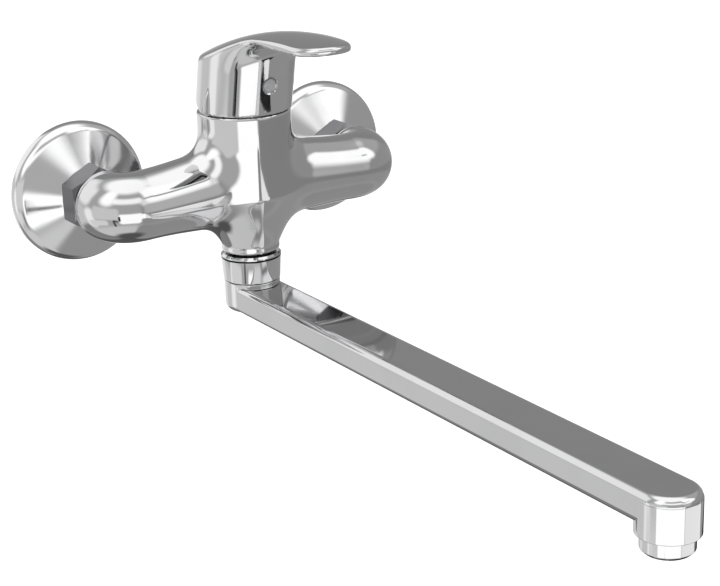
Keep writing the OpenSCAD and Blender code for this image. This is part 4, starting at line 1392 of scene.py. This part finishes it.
@dataclass
class Spout:
    """The swivel spout, the nut that holds it and the aerator at its end."""

    length: float = 328.0
    half_w: float = 13.5
    height: float = 15.0
    corner: float = 4.0
    end_flat: float = 0.01
    weld: float = 0.05
    drum_r: float = 14.9
    drum_edge: float = 0.5
    drum_top: float = -50.8
    bar_top: float = -52.3
    outlet_r: float = 13.8
    outlet_end: float = -72.0
    outlet_edge: float = 0.4
    outlet_deep: float = 8.0
    thread_r: float = 11.0
    stub_r: float = 9.0
    stub_top: float = -21.8
    stub_edge: float = 0.5
    shoulder_r: float = 10.4
    shoulder_top: float = -48.6
    ring_drops: tuple[float, float] = (10.0, 4.0)
    groove_r: float = 6.9
    groove_half: float = 1.1
    clip_r: float = 8.4
    clip_h: float = 3.0
    nut_top: float = -35.7
    nut_end: float = -50.5
    nut_r: float = 16.1
    nut_low_r: float = 15.2
    nut_band: float = 1.5
    nut_chamfer: float = 1.0
    nut_foot_round: float = 0.6
    nut_step: float = 0.12
    nut_step_h: float = 0.3
    nut_gap: float = 0.3
    nut_bore_edge: float = 0.2
    spigot_r: float = 13.27
    lip: float = 1.8
    aerator_r: float = 11.5
    aerator_h: float = 8.0
    aerator_chamfer: float = 1.5
    aerator_edge: float = 0.15
    aerator_ease: float = 0.2
    neck_r: float = 10.95
    neck_h: float = 6.0
    insert_r: float = 9.5
    insert_edge: float = 0.3

    def bar(self) -> bpy.types.Object:
        """The flat spout: a bar with a round end and rounded edges."""
        bottom = self.bar_top - self.height
        end = self.length + self.half_w
        size = (2 * self.half_w * MM, end * MM, self.height * MM)
        centre = BARREL_AT + Vector((0, -end / 2, (self.bar_top + bottom) / 2)) * MM
        piece = Bench.box("spout_shell", size, Matrix.Translation(centre))
        self.bevel(piece, self.round_end, self.half_w - self.end_flat, 24)
        bpy.ops.object.mode_set(mode="EDIT")
        bpy.ops.mesh.select_all(action="SELECT")
        bpy.ops.mesh.remove_doubles(threshold=self.weld * MM)
        bpy.ops.object.mode_set(mode="OBJECT")
        self.bevel(piece, self.rim, self.corner, 10)
        return piece

    @staticmethod
    def round_end(a: Vector, b: Vector) -> bool:
        """Whether an edge stands upright at the far end, where the bar is round."""
        return abs(a.z - b.z) > 0.1 * MM and a.y < BARREL_AT.y - 100 * MM

    @staticmethod
    def rim(a: Vector, b: Vector) -> bool:
        """Whether an edge runs round the top or the bottom, outside the drum."""
        level = abs(a.z - b.z) < 0.001 * MM
        return level and min(a.y, b.y) < BARREL_AT.y - MM

    def bevel(
        self, piece: bpy.types.Object, chosen: Callable[[Vector, Vector], bool], width: float, segments: int
    ) -> None:
        """Round the edges that a test picks by their two ends.

        Args:
            piece: The piece to round.
            chosen: Says whether an edge between two points is rounded.
            width: Radius of the rounding in millimetres.
            segments: Number of chords in it.
        """
        Bench.pick(piece)
        bpy.ops.object.mode_set(mode="EDIT")
        bpy.ops.mesh.select_mode(type="EDGE")
        bpy.ops.mesh.select_all(action="DESELECT")
        bpy.ops.object.mode_set(mode="OBJECT")
        points = piece.data.vertices
        for edge in piece.data.edges:
            a, b = (points[i].co for i in edge.vertices)
            edge.select = chosen(a, b)
        bpy.ops.object.mode_set(mode="EDIT")
        bpy.ops.mesh.bevel(offset=width * MM, segments=segments, profile=0.5, clamp_overlap=False)
        bpy.ops.object.mode_set(mode="OBJECT")

    def stub(self) -> Outline:
        """Outline of the drum and of the tube that turns inside the body."""
        bottom = self.bar_top - self.height
        outline: Outline = [(0, bottom)]
        outline += arc((self.drum_r - self.corner, bottom + self.corner), self.corner, -90, 0, 10)
        edge = self.drum_edge
        outline += arc((self.drum_r - edge, self.drum_top - edge), edge, 0, 90, 4)
        clip_top = self.shoulder_top + self.clip_h
        outline += [(self.shoulder_r, self.drum_top), (self.shoulder_r, self.shoulder_top)]
        outline += [(self.clip_r, self.shoulder_top), (self.clip_r, clip_top), (self.stub_r, clip_top)]
        for drop in self.ring_drops:
            low = self.stub_top - drop - self.groove_half
            high = self.stub_top - drop + self.groove_half
            outline += [(self.stub_r, low), (self.groove_r, low)]
            outline += [(self.groove_r, high), (self.stub_r, high)]
        edge = self.stub_edge
        outline += [(self.stub_r, self.stub_top - edge), (self.stub_r - edge, self.stub_top)]
        return outline + [(0, self.stub_top)]

    def nut(self) -> Outline:
        """Outline of the nut, with the band round its top and the lip that holds the spout."""
        gap_r = self.shoulder_r + self.nut_gap
        start = (gap_r, self.nut_end + self.nut_bore_edge)
        foot = self.nut_foot_round
        band_top = self.nut_top - self.nut_chamfer
        band = band_top - self.nut_band
        outline: Outline = [start, (gap_r + self.nut_bore_edge, self.nut_end)]
        outline += arc((self.nut_low_r - foot, self.nut_end + foot), foot, -90, 0, 5)
        outline += [(self.nut_r - self.nut_step, band - self.nut_step_h), (self.nut_r, band)]
        outline += [(self.nut_r, band_top), (self.nut_r - self.nut_chamfer, self.nut_top)]
        outline += [(self.spigot_r, self.nut_top), (self.spigot_r, self.nut_end + self.lip)]
        return outline + [(gap_r, self.nut_end + self.lip), start]

    def collar(self) -> Outline:
        """Outline of the aerator's collar, with its thread's neck inside the outlet."""
        foot = self.outlet_end - self.aerator_h
        edge = self.aerator_edge
        shoulder = foot + self.aerator_chamfer
        neck_top = self.outlet_end + self.neck_h
        start = (self.insert_r, foot + self.insert_edge)
        outline: Outline = [start, (self.insert_r + self.insert_edge, foot)]
        outline += [(self.aerator_r - self.aerator_chamfer, foot), (self.aerator_r - edge, shoulder - edge)]
        outline += [(self.aerator_r, shoulder + self.aerator_ease)]
        outline += [(self.aerator_r, self.outlet_end - edge), (self.aerator_r - edge, self.outlet_end)]
        outline += [(self.neck_r, self.outlet_end)]
        return outline + [(self.neck_r, neck_top), (self.insert_r, neck_top), start]

    def build(self) -> None:
        """Make the spout, its nut and the aerator's collar."""
        barrel = Matrix.Translation(BARREL_AT)
        outlet = Matrix.Translation(BARREL_AT + Vector((0, -self.length, 0)) * MM)
        piece = self.bar()
        Bench.combine(piece, Bench.turned("stub", self.stub(), barrel), Cut.JOIN)
        top = self.bar_top - self.corner
        edge = self.outlet_edge
        spigot: Outline = [(0, self.outlet_end)]
        spigot += arc((self.outlet_r - edge, self.outlet_end + edge), edge, -90, 0, 3)
        spigot += [(self.outlet_r, top), (0, top)]
        Bench.combine(piece, Bench.turned("outlet", spigot, outlet, 128), Cut.JOIN)
        low = self.outlet_end - 1
        deep = self.outlet_end + self.outlet_deep
        bore: Outline = [(0, low), (self.thread_r, low), (self.thread_r, deep), (0, deep)]
        Bench.combine(piece, Bench.turned("bore", bore, outlet), Cut.REMOVE)
        Bench.smooth(piece)
        Bench.modify(piece, "WEIGHTED_NORMAL", keep_sharp=True)
        finish_piece(piece, CHROME, "swivel_spout", "spout")

        ring = Bench.turned("spout_nut_shell", self.nut(), barrel)
        Bench.smooth(ring, CRISP_ANGLE)
        finish_piece(ring, SPOUT_NUT_CHROME, "mixer", "spout_nut")
        shell = Bench.turned("aerator_collar", self.collar(), outlet)
        Bench.smooth(shell, CRISP_ANGLE)
        finish_piece(shell, CHROME, "swivel_spout", "aerator_shell")


def dress_nodes() -> None:
    """Give each CAD node that stays its finish."""
    for name, finish in NODE_FINISHES.items():
        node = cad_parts[name]
        material = finish.material()
        for slot in node.material_slots:
            slot.material = material
        LOG.info("%s: %s", name, finish.name)


def main() -> None:
    """Build the studio and every piece in order."""
    logging.basicConfig(level=logging.INFO, format="%(name)s %(message)s")
    scene = bpy.context.scene
    scene.view_settings.view_transform = "Standard"
    studio = Studio()
    studio.aim()
    studio.light()
    studio.lay_floor()
    for card in studio.cards:
        card.hang()
    Body().build()
    Handle().build()
    Inlets().build()
    Spout().build()
    dress_nodes()
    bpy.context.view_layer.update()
    Bench.clear()


if __name__ == "__main__":
    main()
